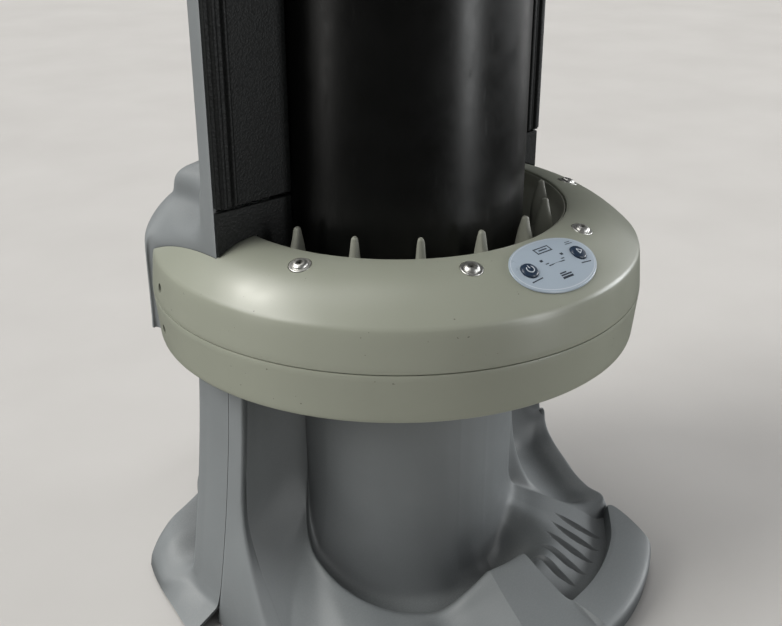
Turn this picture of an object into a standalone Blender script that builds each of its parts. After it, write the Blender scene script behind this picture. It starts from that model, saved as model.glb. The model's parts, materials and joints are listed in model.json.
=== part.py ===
"""Cylinder-type imaging-plate scanner: a floor-standing dental plate reader.

Frame: metres, +Z up, origin on the floor under the drum axis, front of the
machine towards -Y, +X to the right of a person standing in front and facing it.
All sizes are given in millimetres and multiplied by MM when geometry is made.
Plan angles are in degrees from the front (-Y) towards +X unless noted.
"""
import math

import bmesh
import bpy
from mathutils import Matrix, Vector

MM = 0.001
GAP = 0.3                 # clearance between neighbouring parts

# ---- driving sizes (mm) -------------------------------------------------
SKIN = 2.6                # casing wall thickness
SPLIT_Y = 3.0             # vertical split between front and rear casings
FOOT_H = 3.0              # casings hang this far above the floor
BASE_TOP = 196.0
BASE_RIM_R = 197.0
COLUMN_R = 87.0           # front column of the base casing
COLLAR_R = 170.0          # collar radius at the parting line
PARTING_Z = 230.0         # parting line of the collar
COLLAR_Z0 = 196.8         # underside of the collar
COLLAR_RIM_R = 116.8      # radius of the plate entry opening
COLLAR_RIM_Z = 280.9
COLLAR_CUT_X = 147.0      # half width of the tower where it cuts the collar
DRUM_R = 87.4
DRUM_TOP = 548.0
TOWER_TOP = DRUM_TOP
TOWER_FRONT = 3.0
LANE_STEP = 22.5          # degrees from one plate lane to the next
LANES = 7

# ---- scene and materials --------------------------------------------------
for old in list(bpy.data.objects):
    bpy.data.objects.remove(old, do_unlink=True)
for old in list(bpy.data.meshes):
    bpy.data.meshes.remove(old)

PARTS = bpy.data.collections.new("imaging_plate_scanner")
TOOLS = bpy.data.collections.new("cutters")
bpy.context.scene.collection.children.link(PARTS)
bpy.context.scene.collection.children.link(TOOLS)
TOOLS.hide_render = True

# base colour, roughness, metallic
MATERIALS = {
    "casing_grey": ((0.225, 0.240, 0.245), 0.48, 0.0),
    "collar_beige": ((0.300, 0.310, 0.255), 0.42, 0.0),
    "drum_black": ((0.010, 0.011, 0.011), 0.30, 0.0),
    "panel_black": ((0.013, 0.015, 0.015), 0.55, 0.0),
    "guide_beige": ((0.230, 0.235, 0.200), 0.55, 0.0),
    "pad_film": ((0.560, 0.610, 0.680), 0.30, 0.0),
    "button_navy": ((0.020, 0.040, 0.075), 0.35, 0.0),
    "screw_steel": ((0.620, 0.620, 0.600), 0.25, 1.0),
    "plate_steel": ((0.500, 0.510, 0.520), 0.40, 1.0),
    "aluminium": ((0.700, 0.710, 0.720), 0.35, 1.0),
    "foot_rubber": ((0.020, 0.020, 0.020), 0.85, 0.0),
    "roller_rubber": ((0.035, 0.035, 0.035), 0.75, 0.0),
    "nylon_white": ((0.700, 0.690, 0.640), 0.45, 0.0),
    "board_green": ((0.020, 0.120, 0.050), 0.45, 0.0),
    "black_plastic": ((0.015, 0.015, 0.016), 0.45, 0.0),
    "optic_mirror": ((0.850, 0.860, 0.870), 0.05, 1.0),
}


def material(name):
    found = bpy.data.materials.get(name)
    if found:
        return found
    colour, roughness, metallic = MATERIALS[name]
    made = bpy.data.materials.new(name)
    made.use_nodes = True
    shader = made.node_tree.nodes["Principled BSDF"]
    shader.inputs["Base Color"].default_value = (*colour, 1.0)
    shader.inputs["Roughness"].default_value = roughness
    shader.inputs["Metallic"].default_value = metallic
    made.diffuse_color = (*colour, 1.0)
    return made


# ---- building helpers -------------------------------------------------------
# A shape made without a material is a hidden helper for a boolean.
def link(name, mesh, mat, smooth):
    obj = bpy.data.objects.new(name, mesh)
    if mat is None:
        TOOLS.objects.link(obj)
        obj.hide_render = True
        obj.display_type = "WIRE"
        return obj
    PARTS.objects.link(obj)
    mesh.materials.append(material(mat))
    if smooth:
        mesh.shade_smooth()
        mesh.set_sharp_from_angle(angle=math.radians(35))
    return obj


def from_bmesh(name, build, mat, smooth):
    bmesh.ops.recalc_face_normals(build, faces=build.faces[:])
    mesh = bpy.data.meshes.new(name)
    build.to_mesh(mesh)
    build.free()
    return link(name, mesh, mat, smooth)


def frame_z(pos, direction):
    """Matrix that puts local +Z along direction at pos (mm)."""
    turn = Vector(direction).normalized().to_track_quat("Z", "Y").to_matrix().to_4x4()
    return Matrix.Translation(Vector(pos) * MM) @ turn


def axis_frame(pos, x_dir, z_dir):
    """Matrix with local X and Z along the given directions at pos (mm)."""
    x, z = Vector(x_dir).normalized(), Vector(z_dir).normalized()
    y = z.cross(x)
    return Matrix.Translation(Vector(pos) * MM) @ Matrix((x, y, z)).transposed().to_4x4()


def block(name, low, high, mat=None, bevel=0.0):
    """Box between two opposite corners."""
    build = bmesh.new()
    bmesh.ops.create_cube(build, size=1.0)
    size = [(end - start) * MM for start, end in zip(low, high)]
    bmesh.ops.scale(build, vec=size, verts=build.verts)
    obj = from_bmesh(name, build, mat, False)
    obj.location = [(start + end) / 2 * MM for start, end in zip(low, high)]
    if bevel:
        mod = obj.modifiers.new("edges", "BEVEL")
        mod.width = bevel * MM
        mod.segments = 2
        mod.limit_method = "ANGLE"
    return obj


def rod(name, radius, length, pos, direction, sides):
    """Cylindrical helper standing on pos, growing along direction."""
    build = bmesh.new()
    bmesh.ops.create_cone(build, cap_ends=True, cap_tris=False, segments=sides,
                          radius1=radius * MM, radius2=radius * MM, depth=length * MM)
    bmesh.ops.translate(build, vec=(0, 0, length / 2 * MM), verts=build.verts)
    obj = from_bmesh(name, build, None, False)
    obj.matrix_world = frame_z(pos, direction)
    return obj


def turned(name, profile, mat, steps, matrix=None):
    """Full turn of (radius, z) points about Z.

    A profile that starts on the axis also ends there; any other is closed to a loop.
    """
    mesh = bpy.data.meshes.new(name)
    count = len(profile)
    edges = [(i, i + 1) for i in range(count - 1)]
    if profile[0][0] > 0:
        edges.append((count - 1, 0))
    mesh.from_pydata([(radius * MM, 0, z * MM) for radius, z in profile], edges, [])
    obj = link(name, mesh, mat, False)
    mod = obj.modifiers.new("turn", "SCREW")
    mod.axis = "Z"
    mod.angle = math.radians(360)
    mod.steps = steps
    mod.render_steps = steps
    mod.use_merge_vertices = True
    mod.merge_threshold = 0.00005
    mod.use_smooth_shade = True
    if matrix is not None:
        obj.matrix_world = matrix
    return obj


def tube(name, outer, inner, z0, z1, mat, steps):
    """Upright tube on the drum axis."""
    profile = [(outer, z1), (outer, z0), (inner, z0), (inner, z1)]
    return turned(name, profile, mat, steps, frame_z((0, 0, 0), (0, 0, 1)))


def boolean(obj, other, kind="DIFFERENCE"):
    mod = obj.modifiers.new(kind.lower(), "BOOLEAN")
    mod.operation = kind
    mod.object = other
    mod.solver = "EXACT"


def skin(name, rows, mat, thickness=SKIN):
    """Open grid surface (rows of equal length, top row first) walled inwards."""
    wide = len(rows[0])
    verts = [Vector(point) * MM for row in rows for point in row]
    corners = [j * wide + i for j in range(len(rows) - 1) for i in range(wide - 1)]
    faces = [(at, at + wide, at + wide + 1, at + 1) for at in corners]
    mesh = bpy.data.meshes.new(name)
    mesh.from_pydata(verts, [], faces)
    obj = link(name, mesh, mat, True)
    mod = obj.modifiers.new("wall", "SOLIDIFY")
    mod.thickness = thickness * MM
    mod.offset = -1.0
    return obj


def loft(name, rings, mat=None):
    """Closed solid through rings of equal point count."""
    build = bmesh.new()
    loops = [[build.verts.new(Vector(point) * MM) for point in ring] for ring in rings]
    count = len(loops[0])
    for low, high in zip(loops, loops[1:]):
        for i in range(count):
            after = (i + 1) % count
            build.faces.new((low[i], low[after], high[after], high[i]))
    build.faces.new(loops[0][::-1])
    build.faces.new(loops[-1])
    return from_bmesh(name, build, mat, False)


def outline(name, points, z0, z1, mat):
    """Flat outline extruded from z0 to z1, made a mesh with welded caps."""
    curve = bpy.data.curves.new(name, "CURVE")
    curve.dimensions = "2D"
    curve.fill_mode = "BOTH"
    curve.extrude = (z1 - z0) / 2 * MM
    spline = curve.splines.new("POLY")
    spline.points.add(len(points) - 1)
    for point, (x, y) in zip(spline.points, points):
        point.co = (x * MM, y * MM, 0, 1)
    spline.use_cyclic_u = True
    temp = bpy.data.objects.new(name + "_curve", curve)
    TOOLS.objects.link(temp)
    temp.location = (0, 0, (z0 + z1) / 2 * MM)
    bpy.context.view_layer.update()
    graph = bpy.context.evaluated_depsgraph_get()
    mesh = bpy.data.meshes.new_from_object(temp.evaluated_get(graph))
    world = temp.matrix_world.copy()
    bpy.data.objects.remove(temp, do_unlink=True)
    build = bmesh.new()
    build.from_mesh(mesh)
    bmesh.ops.remove_doubles(build, verts=build.verts, dist=0.000001)
    bmesh.ops.recalc_face_normals(build, faces=build.faces[:])
    build.to_mesh(mesh)
    build.free()
    mesh.materials.clear()
    obj = link(name, mesh, mat, False)
    obj.matrix_world = world
    return obj


def polar(radius, angle):
    """Plan point at a radius and plan angle."""
    turn = math.radians(angle)
    return (radius * math.sin(turn), -radius * math.cos(turn))


def between(start, end, share):
    """Plan point at a share of the way from start to end."""
    return (start[0] + (end[0] - start[0]) * share, start[1] + (end[1] - start[1]) * share)


def clamp(value):
    return min(max(value, 0.0), 1.0)


def ease(value):
    share = clamp(value)
    return share * share * (3 - 2 * share)


# ---- collar surface -------------------------------------------------------
DOME_OUTER_R = 167.5
DOME_DROP = 24.0


def dome(radius):
    """Height of the collar's upper surface at a radius."""
    share = clamp((radius - COLLAR_RIM_R) / (DOME_OUTER_R - COLLAR_RIM_R))
    return COLLAR_RIM_Z - DOME_DROP * share ** 2.05 + 0.1 * share


def dome_normal(radius, angle):
    slope = dome(radius + 0.5) - dome(radius - 0.5)
    turn = math.radians(angle)
    return Vector((-slope * math.sin(turn), slope * math.cos(turn), 1.0)).normalized()


def on_dome(radius, angle, lift=0.0):
    x, y = polar(radius, angle)
    return Vector((x, y, dome(radius))) + dome_normal(radius, angle) * lift


# ---- base front casing ----------------------------------------------------
# The shell is a fan of upright stations from the -X side round the front to
# the +X side. Every station has 16 points, from the top down.
def side_x(z):
    """Half width of the base's flat side at height z: a slow outward sweep."""
    drop = BASE_TOP - z
    return 143.7 + 0.0479 * drop + 0.000367 * drop * drop


def bell(z):
    """Flare share at height z: 0 from 110 mm up, 1 at the floor."""
    return max(1.0 - z / 110.0, 0.0) ** 2


# point heights of the side stations, then of the three panel stations
FLUTE_Z = [BASE_TOP, 150, 118, 98, 84, 73, 64, 56, 49, 43, 37, 30, 22, 15, 9, FOOT_H]
PANEL_OUTER_Z = [BASE_TOP, 165, 142, 124, 110, 99, 90, 82, 75, 68, 61, 46, 31, 18, 9, FOOT_H]
PANEL_MID_Z = [BASE_TOP, 180, 168, 158, 150, 143, 136, 130, 124, 118, 112, 82, 52, 28, 11, FOOT_H]
PANEL_INNER_Z = [BASE_TOP, 191, 188, 185.5, 183, 181, 179, 177, 175, 173.5, 172, 115, 66, 32, 12,
                 FOOT_H]

# flat side, rounded front corner and set-back panel beside the column:
# heights, whether x is measured from the flat side, x, x flare, y, y flare
EDGE = [
    (FLUTE_Z, True, 0.0, 0, SPLIT_Y - GAP, 0),
    (FLUTE_Z, True, 0.0, 0, -4.0, -34),
    (FLUTE_Z, True, -0.6, 0, -11.0, -66),
    (PANEL_OUTER_Z, True, -8.5, -4, -6.5, -84),
    (PANEL_MID_Z, False, 117.0, 45, -1.0, -97),
    (PANEL_INNER_Z, False, 92.0, 71, -2.5, -104),
]


def edge_station(entry, side, flare):
    """One EDGE station on the given side (-1 or 1); flare scales the turn-out at the foot."""
    heights, from_side, x_base, x_flare, y_base, y_flare = entry
    station = []
    for z in heights:
        out = bell(z) * flare
        x = x_base + x_flare * out + (side_x(z) if from_side else 0.0)
        station.append((side * x, y_base + y_flare * out, z))
    return station


# angle at the column, angle at the outline, rim radius, rim height, floor height, outline radius
BOWL = [
    (-88.6, -58.3, 87.1, 160, 159.4, 191),
    (-88.1, -58.0, 87.2, 124, 123.2, 191),
    (-87.3, -57.5, 88.2, 97, 95.8, 191),
    (-85.2, -56.7, 94.0, 76.5, 74, 191),
    (-80.5, -54.8, 105.0, 61.5, 56, 191),
    (-74.0, -51.0, 115.5, 49.5, 41, 191),
    (-66.0, -47.0, 122.5, 40, 29, 191),
    (-56.0, -42.0, 126.0, 31, 19, 191),
    (-45.0, -36.5, 126.0, 23.5, 13, 191),
    (-35.0, -31.5, 126.0, 20, 11.5, 191),
    (-28.0, -26.5, 126.5, 20.5, 11.5, 192),
    (-19.5, -19.0, 126.5, 32.5, 11.5, 194),
]
# apron points: share of the way to the outline, share of the rim height when steep
APRON = ((0.15, 0.66), (0.38, 0.38), (0.68, 0.19))


def bowl_profile(rim_radius, rim_z, floor_z):
    """Column, fillet, bowl floor and raised rim as (radius, z)."""
    fillet_top = min(floor_z + 58, 192.0)
    neck_z = 150.0 if fillet_top < 145 else (BASE_TOP + fillet_top) / 2
    profile = [(COLUMN_R, BASE_TOP), (COLUMN_R, neck_z)]
    fillet = min(17.0, (rim_radius - COLUMN_R) * 0.6)
    for step in range(6):
        turn = math.radians(step * 18)
        profile.append((COLUMN_R + fillet * (1 - math.cos(turn)),
                        floor_z + (fillet_top - floor_z) * (1 - math.sin(turn))))
    rest = rim_radius - COLUMN_R - fillet
    profile.append((COLUMN_R + fillet + rest * 0.42, floor_z + 0.2 * min(rim_z - floor_z, 2.0)))
    profile.append((rim_radius - rest * 0.24, rim_z - 0.2 * (rim_z - floor_z)))
    profile.append((rim_radius, rim_z))
    return profile


def bowl_station(top_angle, end_angle, rim_radius, rim_z, floor_z, end_radius):
    """Bowl section, then the apron from the rim down to the outline."""
    station = []
    for radius, z in bowl_profile(rim_radius, rim_z, floor_z):
        share = ease((radius - COLUMN_R) / (end_radius - COLUMN_R))
        station.append((*polar(radius, top_angle + (end_angle - top_angle) * share), z))
    rim, end = station[-1], polar(end_radius, end_angle)
    steep = ease((rim_z - 30) / 35)
    for out, rim_share in APRON:
        z_low = 15.5 + (rim_z - 15.5) * (1 - out / 0.93)
        z = z_low + (rim_z * rim_share - z_low) * steep
        flare = max(bell(z) - bell(rim_z), 0.0) / (bell(FOOT_H) - bell(rim_z))
        station.append((*between(rim, end, out + (flare - out) * steep), z))
    station.append((*between(rim, end, 0.97 + (0.80 - 0.97) * steep), 12.0))
    station.append((*end, FOOT_H))
    return station


# (radius, z) sections of the nose at the front and of the tray to its +X side
NOSE_PROFILE = [
    (COLUMN_R, BASE_TOP), (COLUMN_R, 150), (COLUMN_R, 90), (87.2, 55), (88.5, 34), (92, 21),
    (99, 13.5), (110, 11.5), (119.5, 12.5), (122.5, 42.5), (126, 44.8), (143, 36.5), (165, 26.5),
    (188, 19.5), (BASE_RIM_R, 16), (BASE_RIM_R, FOOT_H),
]
TRAY_PROFILE = [
    (COLUMN_R, BASE_TOP), (COLUMN_R, 150), (COLUMN_R, 100), (88, 76), (90.5, 60), (96, 50),
    (105, 44.5), (119, 39.0), (132, 33), (146, 26.5), (159, 21), (164.5, 20.6), (168.5, 25.2),
    (172, 25), (BASE_RIM_R, 17.5), (BASE_RIM_R, FOOT_H),
]
NOSE_ANGLES = (-11.0, -4.0, 0.0, 4.2)
TRAY_ANGLES = (5.2, 12.9, 20.6, 28.3, 36.0)


def radial_station(profile, angle):
    return [(*polar(radius, angle), z) for radius, z in profile]


def lip_end_angle(radius):
    """Plan angle of the slanting cut that ends the tray."""
    if radius < 160:
        return 46.0
    if radius <= 170:
        return 46.0 + (radius - 160) / 10 * 3.4
    return 49.4 - (radius - 170) / 27 * 11.6


def lip_end_station():
    return [(*polar(radius, lip_end_angle(radius)), z) for radius, z in TRAY_PROFILE]


# plan point under the collar, crest of the flank, foot on the outline, depth of the trough
FLANK = [
    (polar(COLUMN_R, 52), (129.5, -103, 27.8), (131, -112), 5.0),
    (polar(COLUMN_R, 59), (131.0, -86, 28.7), (138, -94), 4.0),
    (polar(COLUMN_R, 67), (137.5, -66, 29.8), (148, -73), 4.0),
    (polar(COLUMN_R, 76), (146.0, -49, 31.3), (158, -52), 4.0),
    (polar(COLUMN_R, 84), (152.5, -35, 33.5), (163.5, -34), 3.5),
    ((96.0, -3.2), (156.0, -26, 37.0), (166.4, -22), 3.0),
    ((112.0, -2.4), (157.6, -19.5, 42.5), (166.9, -17), 2.0),
    ((126.0, -3.5), (158.4, -15.5, 49.5), (167.0, -14), 1.0),
    ((135.2, -6.5), (158.4, -12.5, 60.0), (167.0, -12), 0.5),
]
# way down into the trough: share of the way out to the crest, share of the height
TROUGH = [(0, 1), (0, 0.73), (0.02, 0.50), (0.06, 0.34), (0.13, 0.22), (0.23, 0.13),
          (0.36, 0.065), (0.52, 0.02), (0.70, 0.0)]


def flank_station(top, crest, foot, dip):
    """From under the collar into the trough, up to the crest, then down the outside."""
    crest_z = crest[2]
    low = crest_z - dip
    inside = [(share, low + (BASE_TOP - low) * height) for share, height in TROUGH]
    inside += [(0.87, crest_z - dip * 0.35), (1.0, crest_z)]
    outside = [(0.12, crest_z - 1.5), (0.45, crest_z * 0.72), (0.75, crest_z * 0.42),
               (1.0, 9.0 if crest_z < 60 else 10.0), (1.0, FOOT_H)]
    return ([(*between(top, crest, share), z) for share, z in inside]
            + [(*between(crest, foot, share), z) for share, z in outside])


def base_front_rows():
    stations = [edge_station(entry, -1, 1.0) for entry in EDGE]
    stations += [bowl_station(*entry) for entry in BOWL]
    stations += [radial_station(NOSE_PROFILE, angle) for angle in NOSE_ANGLES]
    stations += [radial_station(TRAY_PROFILE, angle) for angle in TRAY_ANGLES]
    stations.append(lip_end_station())
    stations += [flank_station(*entry) for entry in FLANK]
    stations += [edge_station(entry, 1, 0.0) for entry in EDGE[2::-1]]
    return list(zip(*stations))


base_front = skin("base_front_shell", base_front_rows(), "casing_grey")

# tray grooves: evenly spaced radial cuts, widest in the middle
GROOVES = 5
GROOVE_START, GROOVE_STEP = 11.0, 6.15     # degrees
GROOVE_R, GROOVE_LENGTH = 119, 40
GROOVE_SECTION = ((-1, 3.0), (-1, -0.9), (1, -0.9), (1, 3.0))  # half widths, height over tray


def groove_cutter(number):
    angle = GROOVE_START + GROOVE_STEP * number
    across_x, across_y = polar(1.0, angle + 90)
    rings = []
    for step in range(5):
        share = step / 4
        radius = GROOVE_R + GROOVE_LENGTH * share
        half = 1.3 * math.sin(math.pi * share) ** 0.8 + 0.02
        x, y = polar(radius, angle)
        z = 39.0 - (radius - GROOVE_R) * 0.45
        rings.append([(x + across_x * side * half, y + across_y * side * half, z + lift)
                      for side, lift in GROOVE_SECTION])
    return loft("groove_cut_%d" % number, rings)


for k in range(GROOVES):
    boolean(base_front, groove_cutter(k))

# ---- base rear cover ------------------------------------------------------
# each list: height, share of the way out from the wall to the foot
REAR_TOP = [(BASE_TOP, 0), (150, 0), (100, 0), (60, 0)]
TOE = [(44, 0), (36, 0), (30, 0), (21, 0.02), (14.5, 0.09), (11.5, 0.28), (FOOT_H, 1)]
SKIRT = [(44, 0), (36, 0), (30, 0), (22, 0.03), (16, 0.11), (13, 0.30), (FOOT_H, 1)]
HEEL = [(44, 0), (36, 0), (30, 0.01), (23, 0.05), (18.5, 0.18), (15.5, 0.36), (FOOT_H, 1)]
RIDGE = [(44, 0), (34, 0.02), (30, 0.12), (28.5, 0.70), (20, 0.88), (12, 0.97), (FOOT_H, 1)]
HALF = [(44, 0), (34, 0.02), (27, 0.14), (22.5, 0.68), (16, 0.86), (10, 0.96), (FOOT_H, 1)]
TAIL = [(44, 0.02), (36, 0.09), (30, 0.26), (26, 0.60), (20.5, 0.86), (13, 1), (FOOT_H, 1)]

# +X half, front to back: wall x (None on the flat side), wall y, lower rows, foot point
REAR_STATIONS = [
    (None, SPLIT_Y + GAP, TOE, (187.4, SPLIT_Y + GAP)),
    (None, 9.0, TOE, (187.0, 9.6)),
    (None, 15.5, TOE, (186.2, 17)),
    (None, 28.0, SKIRT, (183.4, 31)),
    (None, 39.0, HEEL, (181.2, 43)),
    (125.0, 46, HALF, (178.0, 60)),
    (114.0, 72, RIDGE, (173.5, 77)),
    (105.0, 90, RIDGE, (168.5, 91.2)),
    (98.0, 99, RIDGE, (157.0, 101.5)),
    (90.0, 107, RIDGE, (139.0, 108.5)),
    (81.0, 117, RIDGE, (119.0, 116)),
    (70.0, 131, TAIL, (101.0, 130)),
    (56.0, 145, TAIL, (84.0, 156)),
    (30.0, 150, TAIL, (50.0, 187)),
    (0, 151, TAIL, (0, BASE_RIM_R)),
]


def rear_station(wall_x, wall_y, lower, foot):
    """Upright wall that turns out into a low foot."""
    inset = 0.5 if wall_y > 35 else 0.0
    station = []
    for z, share in REAR_TOP + lower:
        x = side_x(z) - inset if wall_x is None else wall_x
        station.append((*between((x, wall_y), foot, share), z))
    return station


def base_rear_rows():
    half = [rear_station(*entry) for entry in REAR_STATIONS]
    mirrored = [[(-x, y, z) for x, y, z in station] for station in half[-2::-1]]
    return list(zip(*half, *mirrored))


base_rear = skin("base_rear_cover", base_rear_rows(), "casing_grey")

# ---- tower and rear cover ---------------------------------------------------
# z, three side points from front to back, then the back's radii at BACK_ANGLES
HOUSE_LEVELS = [
    (197.2, (146.6, 50), (146.6, 86.2), (149.2, 86.8), (172.4, 172.4, 172.4, 172.4, 172.4)),
    (230.0, (146.6, 50), (146.6, 86.2), (149.2, 86.8), (172.4, 172.4, 172.4, 172.4, 172.4)),
    (257.0, (146.6, 50), (146.6, 86.2), (149.2, 86.8), (172.4, 172.4, 172.4, 172.4, 172.4)),
    (264.0, (146.6, 50), (145.6, 84.5), (147.5, 88.0), (171.5, 171.0, 167.0, 158.0, 156.0)),
    (270.0, (146.4, 50), (142.0, 82.0), (142.8, 90.0), (168.5, 167.0, 158.0, 149.0, 146.0)),
    (276.5, (144.0, 49), (137.0, 80.0), (137.0, 90.0), (163.0, 159.0, 144.0, 138.0, 136.0)),
    (283.0, (137.0, 47), (131.0, 78.0), (131.0, 89.5), (156.0, 148.0, 136.0, 130.0, 128.5)),
    (287.0, (130.0, 46), (126.5, 77.0), (126.0, 88.0), (151.0, 138.0, 129.0, 126.5, 126.0)),
    (291.5, (126.5, 45), (124.0, 76.0), (124.5, 86.5), (147.0, 130.0, 126.0, 125.0, 125.0)),
    (301.0, (125.0, 45), (124.0, 75.0), (124.0, 85.0), (140.0, 126.0, 125.0, 125.0, 125.0)),
    (307.0, (122.0, 44), (121.0, 73.0), (120.5, 82.0), (129.0, 125.0, 125.0, 125.0, 125.0)),
    (310.5, (116.5, 43), (115.0, 70.0), (112.5, 77.0), (125.0, 125.0, 125.0, 125.0, 125.0)),
    (312.5, (109.0, 42), (105.5, 67.0), (101.0, 74.0), (125.0, 125.0, 125.0, 125.0, 125.0)),
    (314.5, (104.0, 40), (99.0, 64.0), (95.0, 74.0), (125.0, 125.0, 125.0, 125.0, 125.0)),
    (TOWER_TOP, (104.0, 40), (99.0, 64.0), (95.0, 74.0), (125.0, 125.0, 125.0, 125.0, 125.0)),
]
BACK_ANGLES = (46.0, 35.0, 23.0, 11.5, 0.0)    # degrees from the back (+Y) towards +X
TOWER_X = 146.6                                # half width at the front


def house_plan(level):
    """Plan of the tower at one level, from front +X round the back to front -X."""
    half = [(TOWER_X, TOWER_FRONT), (TOWER_X, 22.0), *level[1:4]]
    for angle, radius in zip(BACK_ANGLES, level[4]):
        turn = math.radians(angle)
        half.append((radius * math.sin(turn), radius * math.cos(turn)))
    return half + [(-x, y) for x, y in half[-2::-1]]


tower_rows = [[(x, y, level[0]) for x, y in house_plan(level)] for level in HOUSE_LEVELS[::-1]]
tower = skin("rear_tower_cover", tower_rows, "casing_grey", 2.4)
tower.modifiers["wall"].use_even_offset = True
tower.modifiers["wall"].thickness_clamp = 0.0

# the cap's front edge is an arc that clears the drum
drum_arc = [polar(DRUM_R + 1.2, -92 - 176 * k / 20) for k in range(21)]
outline("tower_top_cap", house_plan(HOUSE_LEVELS[-1]) + drum_arc,
        TOWER_TOP + GAP, TOWER_TOP + 4.0, "casing_grey")

# ---- wing panels ------------------------------------------------------------
WING_SPLIT_Z = 305.0      # foot of the upper panels
WING_BACK_Y = 2.3
# (x, y) plan of the upper panel on the +X side, with two upright ribs
WING_PLAN = [
    (146.4, WING_BACK_Y), (146.4, -0.6), (143.4, -0.9), (142.2, -3.2), (139.8, -3.2),
    (138.6, -0.9), (135.6, -0.9), (134.4, -3.0), (132.4, -3.0), (131.2, -0.6), (90.0, -0.6),
    (88.9, WING_BACK_Y),
]
WING_FOOT_X = (146.2, 140, 134, 128, 122, 116.3, 116.2, 103, 89.5)


def wing_lower(name, side):
    """Lower panel: its foot follows the dome, then drops inside the entry opening."""
    top = WING_SPLIT_Z - 3.0
    rings = []
    for x in WING_FOOT_X:
        foot = dome(x) + 0.6 if x >= 116.3 else 262.6
        section = ((0.9, foot), (0.9, top), (WING_BACK_Y, top), (WING_BACK_Y, foot))
        rings.append([(side * x, y, z) for y, z in section])
    loft(name, rings, "panel_black")


for side, word in ((-1, "left"), (1, "right")):
    outline("wing_panel_upper_" + word, [(side * x, y) for x, y in WING_PLAN],
            WING_SPLIT_Z, TOWER_TOP, "panel_black")
    wing_lower("wing_panel_lower_" + word, side)

# ---- drum -------------------------------------------------------------------
tube("drum_cover", DRUM_R, DRUM_R - 2.5, 262.3, DRUM_TOP, "drum_black", 64)
turned("drum_cap",
       [(0, DRUM_TOP + 6.5), (74, DRUM_TOP + 6.5), (84.5, DRUM_TOP + 4.2), (DRUM_R, DRUM_TOP + GAP),
        (DRUM_R - 2.8, DRUM_TOP + GAP), (DRUM_R - 2.8, DRUM_TOP - 8), (DRUM_R - 5.2, DRUM_TOP - 8),
        (DRUM_R - 5.2, DRUM_TOP + 2), (0, DRUM_TOP + 2.8)], "drum_black", 48)

# ---- collar -----------------------------------------------------------------
collar_cut = block("collar_cut", (-COLLAR_CUT_X, SPLIT_Y - GAP, 150), (COLLAR_CUT_X, 260, 340))


def collar_upper_profile():
    """Dome from the entry rim outwards, side to the parting line, back up inside."""
    profile = [(COLLAR_RIM_R, COLLAR_RIM_Z)]
    for step in range(1, 8):
        radius = COLLAR_RIM_R + (166.0 - COLLAR_RIM_R) * (step / 7) ** 0.8
        profile.append((radius, dome(radius)))
    profile += [(168.2, 254.0), (COLLAR_R, PARTING_Z + GAP), (COLLAR_R - 2.8, PARTING_Z + GAP),
                (164.9, 254.0)]
    for step in range(3, -1, -1):
        radius = COLLAR_RIM_R + 1.5 + (158.0 - COLLAR_RIM_R) * step / 3
        profile.append((radius, dome(radius) - 3.2))
    profile.append((COLLAR_RIM_R, COLLAR_RIM_Z - 5.0))
    return profile


collar_upper = turned("collar_upper", collar_upper_profile(), "collar_beige", 60)
boolean(collar_upper, collar_cut)

collar_lower = turned(
    "collar_lower",
    [(COLLAR_R, PARTING_Z - GAP), (167.3, COLLAR_Z0 + 1.4), (165.8, COLLAR_Z0),
     (97.5, COLLAR_Z0), (97.5, COLLAR_Z0 + 2.4), (164.6, COLLAR_Z0 + 2.4),
     (167.2, PARTING_Z - GAP)], "collar_beige", 60)
boolean(collar_lower, collar_cut)

# four screws on the dome, each in a washer recess with a shank hole
SCREW_R = 133.2
SCREW_ANGLES = (-67.5, -22.5, 22.5, 67.5)
SCREW_PROFILE = [(0, 1.3), (2.3, 1.3), (2.5, 3.1), (4.4, 2.8), (5.1, 0.8), (7.0, 0.7),
                 (7.0, 0.2), (2.1, 0.2), (2.1, -7.0), (0, -7.0)]
for k, angle in enumerate(SCREW_ANGLES):
    normal = dome_normal(SCREW_R, angle)
    seat = on_dome(SCREW_R, angle, -1.2)
    boolean(collar_upper, rod("washer_cut_%d" % k, 7.4, 6, seat, normal, 16))
    boolean(collar_upper, rod("shank_cut_%d" % k, 2.4, 12, seat - normal * 8, normal, 12))
    turned("collar_screw_%d" % (k + 1), SCREW_PROFILE, "screw_steel", 12, frame_z(seat, normal))

# ---- plate guide ring with fingers -------------------------------------------
GUIDE_PROFILE = [
    (116.3, 279.6), (116.3, 273.0), (106.5, 260.4), (97.6, 251.5), (96.6, 248.5), (94.0, 248.5),
    (94.0, 252.5), (103.5, 263.0), (112.2, 272.0), (114.4, 277.0), (115.4, 279.6),
]
# finger sections from the foot up: inner radius, outer radius, half width, z
FINGER_RINGS = ((96.4, 107.5, 4.6, 256.8), (96.4, 109.8, 4.4, 268.0), (98.4, 107.0, 3.4, 279.0),
                (100.4, 105.4, 2.6, 286.4), (101.2, 104.6, 1.5, 288.8))


def finger(name, angle):
    """Tapered finger rising from the sloped wall of the guide ring."""
    radial = Vector((*polar(1.0, angle), 0))
    tangent = Vector((*polar(1.0, angle + 90), 0))
    rings = []
    for inner, outer, half, z in FINGER_RINGS:
        middle = (inner + outer) / 2
        section = ((inner, -0.55), (inner, 0.55), (middle, 1), (outer, 0.75), (outer, -0.75),
                   (middle, -1))
        rings.append([radial * radius + tangent * side * half + Vector((0, 0, z))
                      for radius, side in section])
    return loft(name, rings)


guide_ring = turned("plate_guide_ring", GUIDE_PROFILE, "guide_beige", 52)
boolean(guide_ring, block("ring_cut", (-140, GAP, 200), (140, 140, 320)))
for k in range(LANES + 1):
    boolean(guide_ring, finger("finger_%d" % k, (k - LANES / 2) * LANE_STEP), "UNION")

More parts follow.
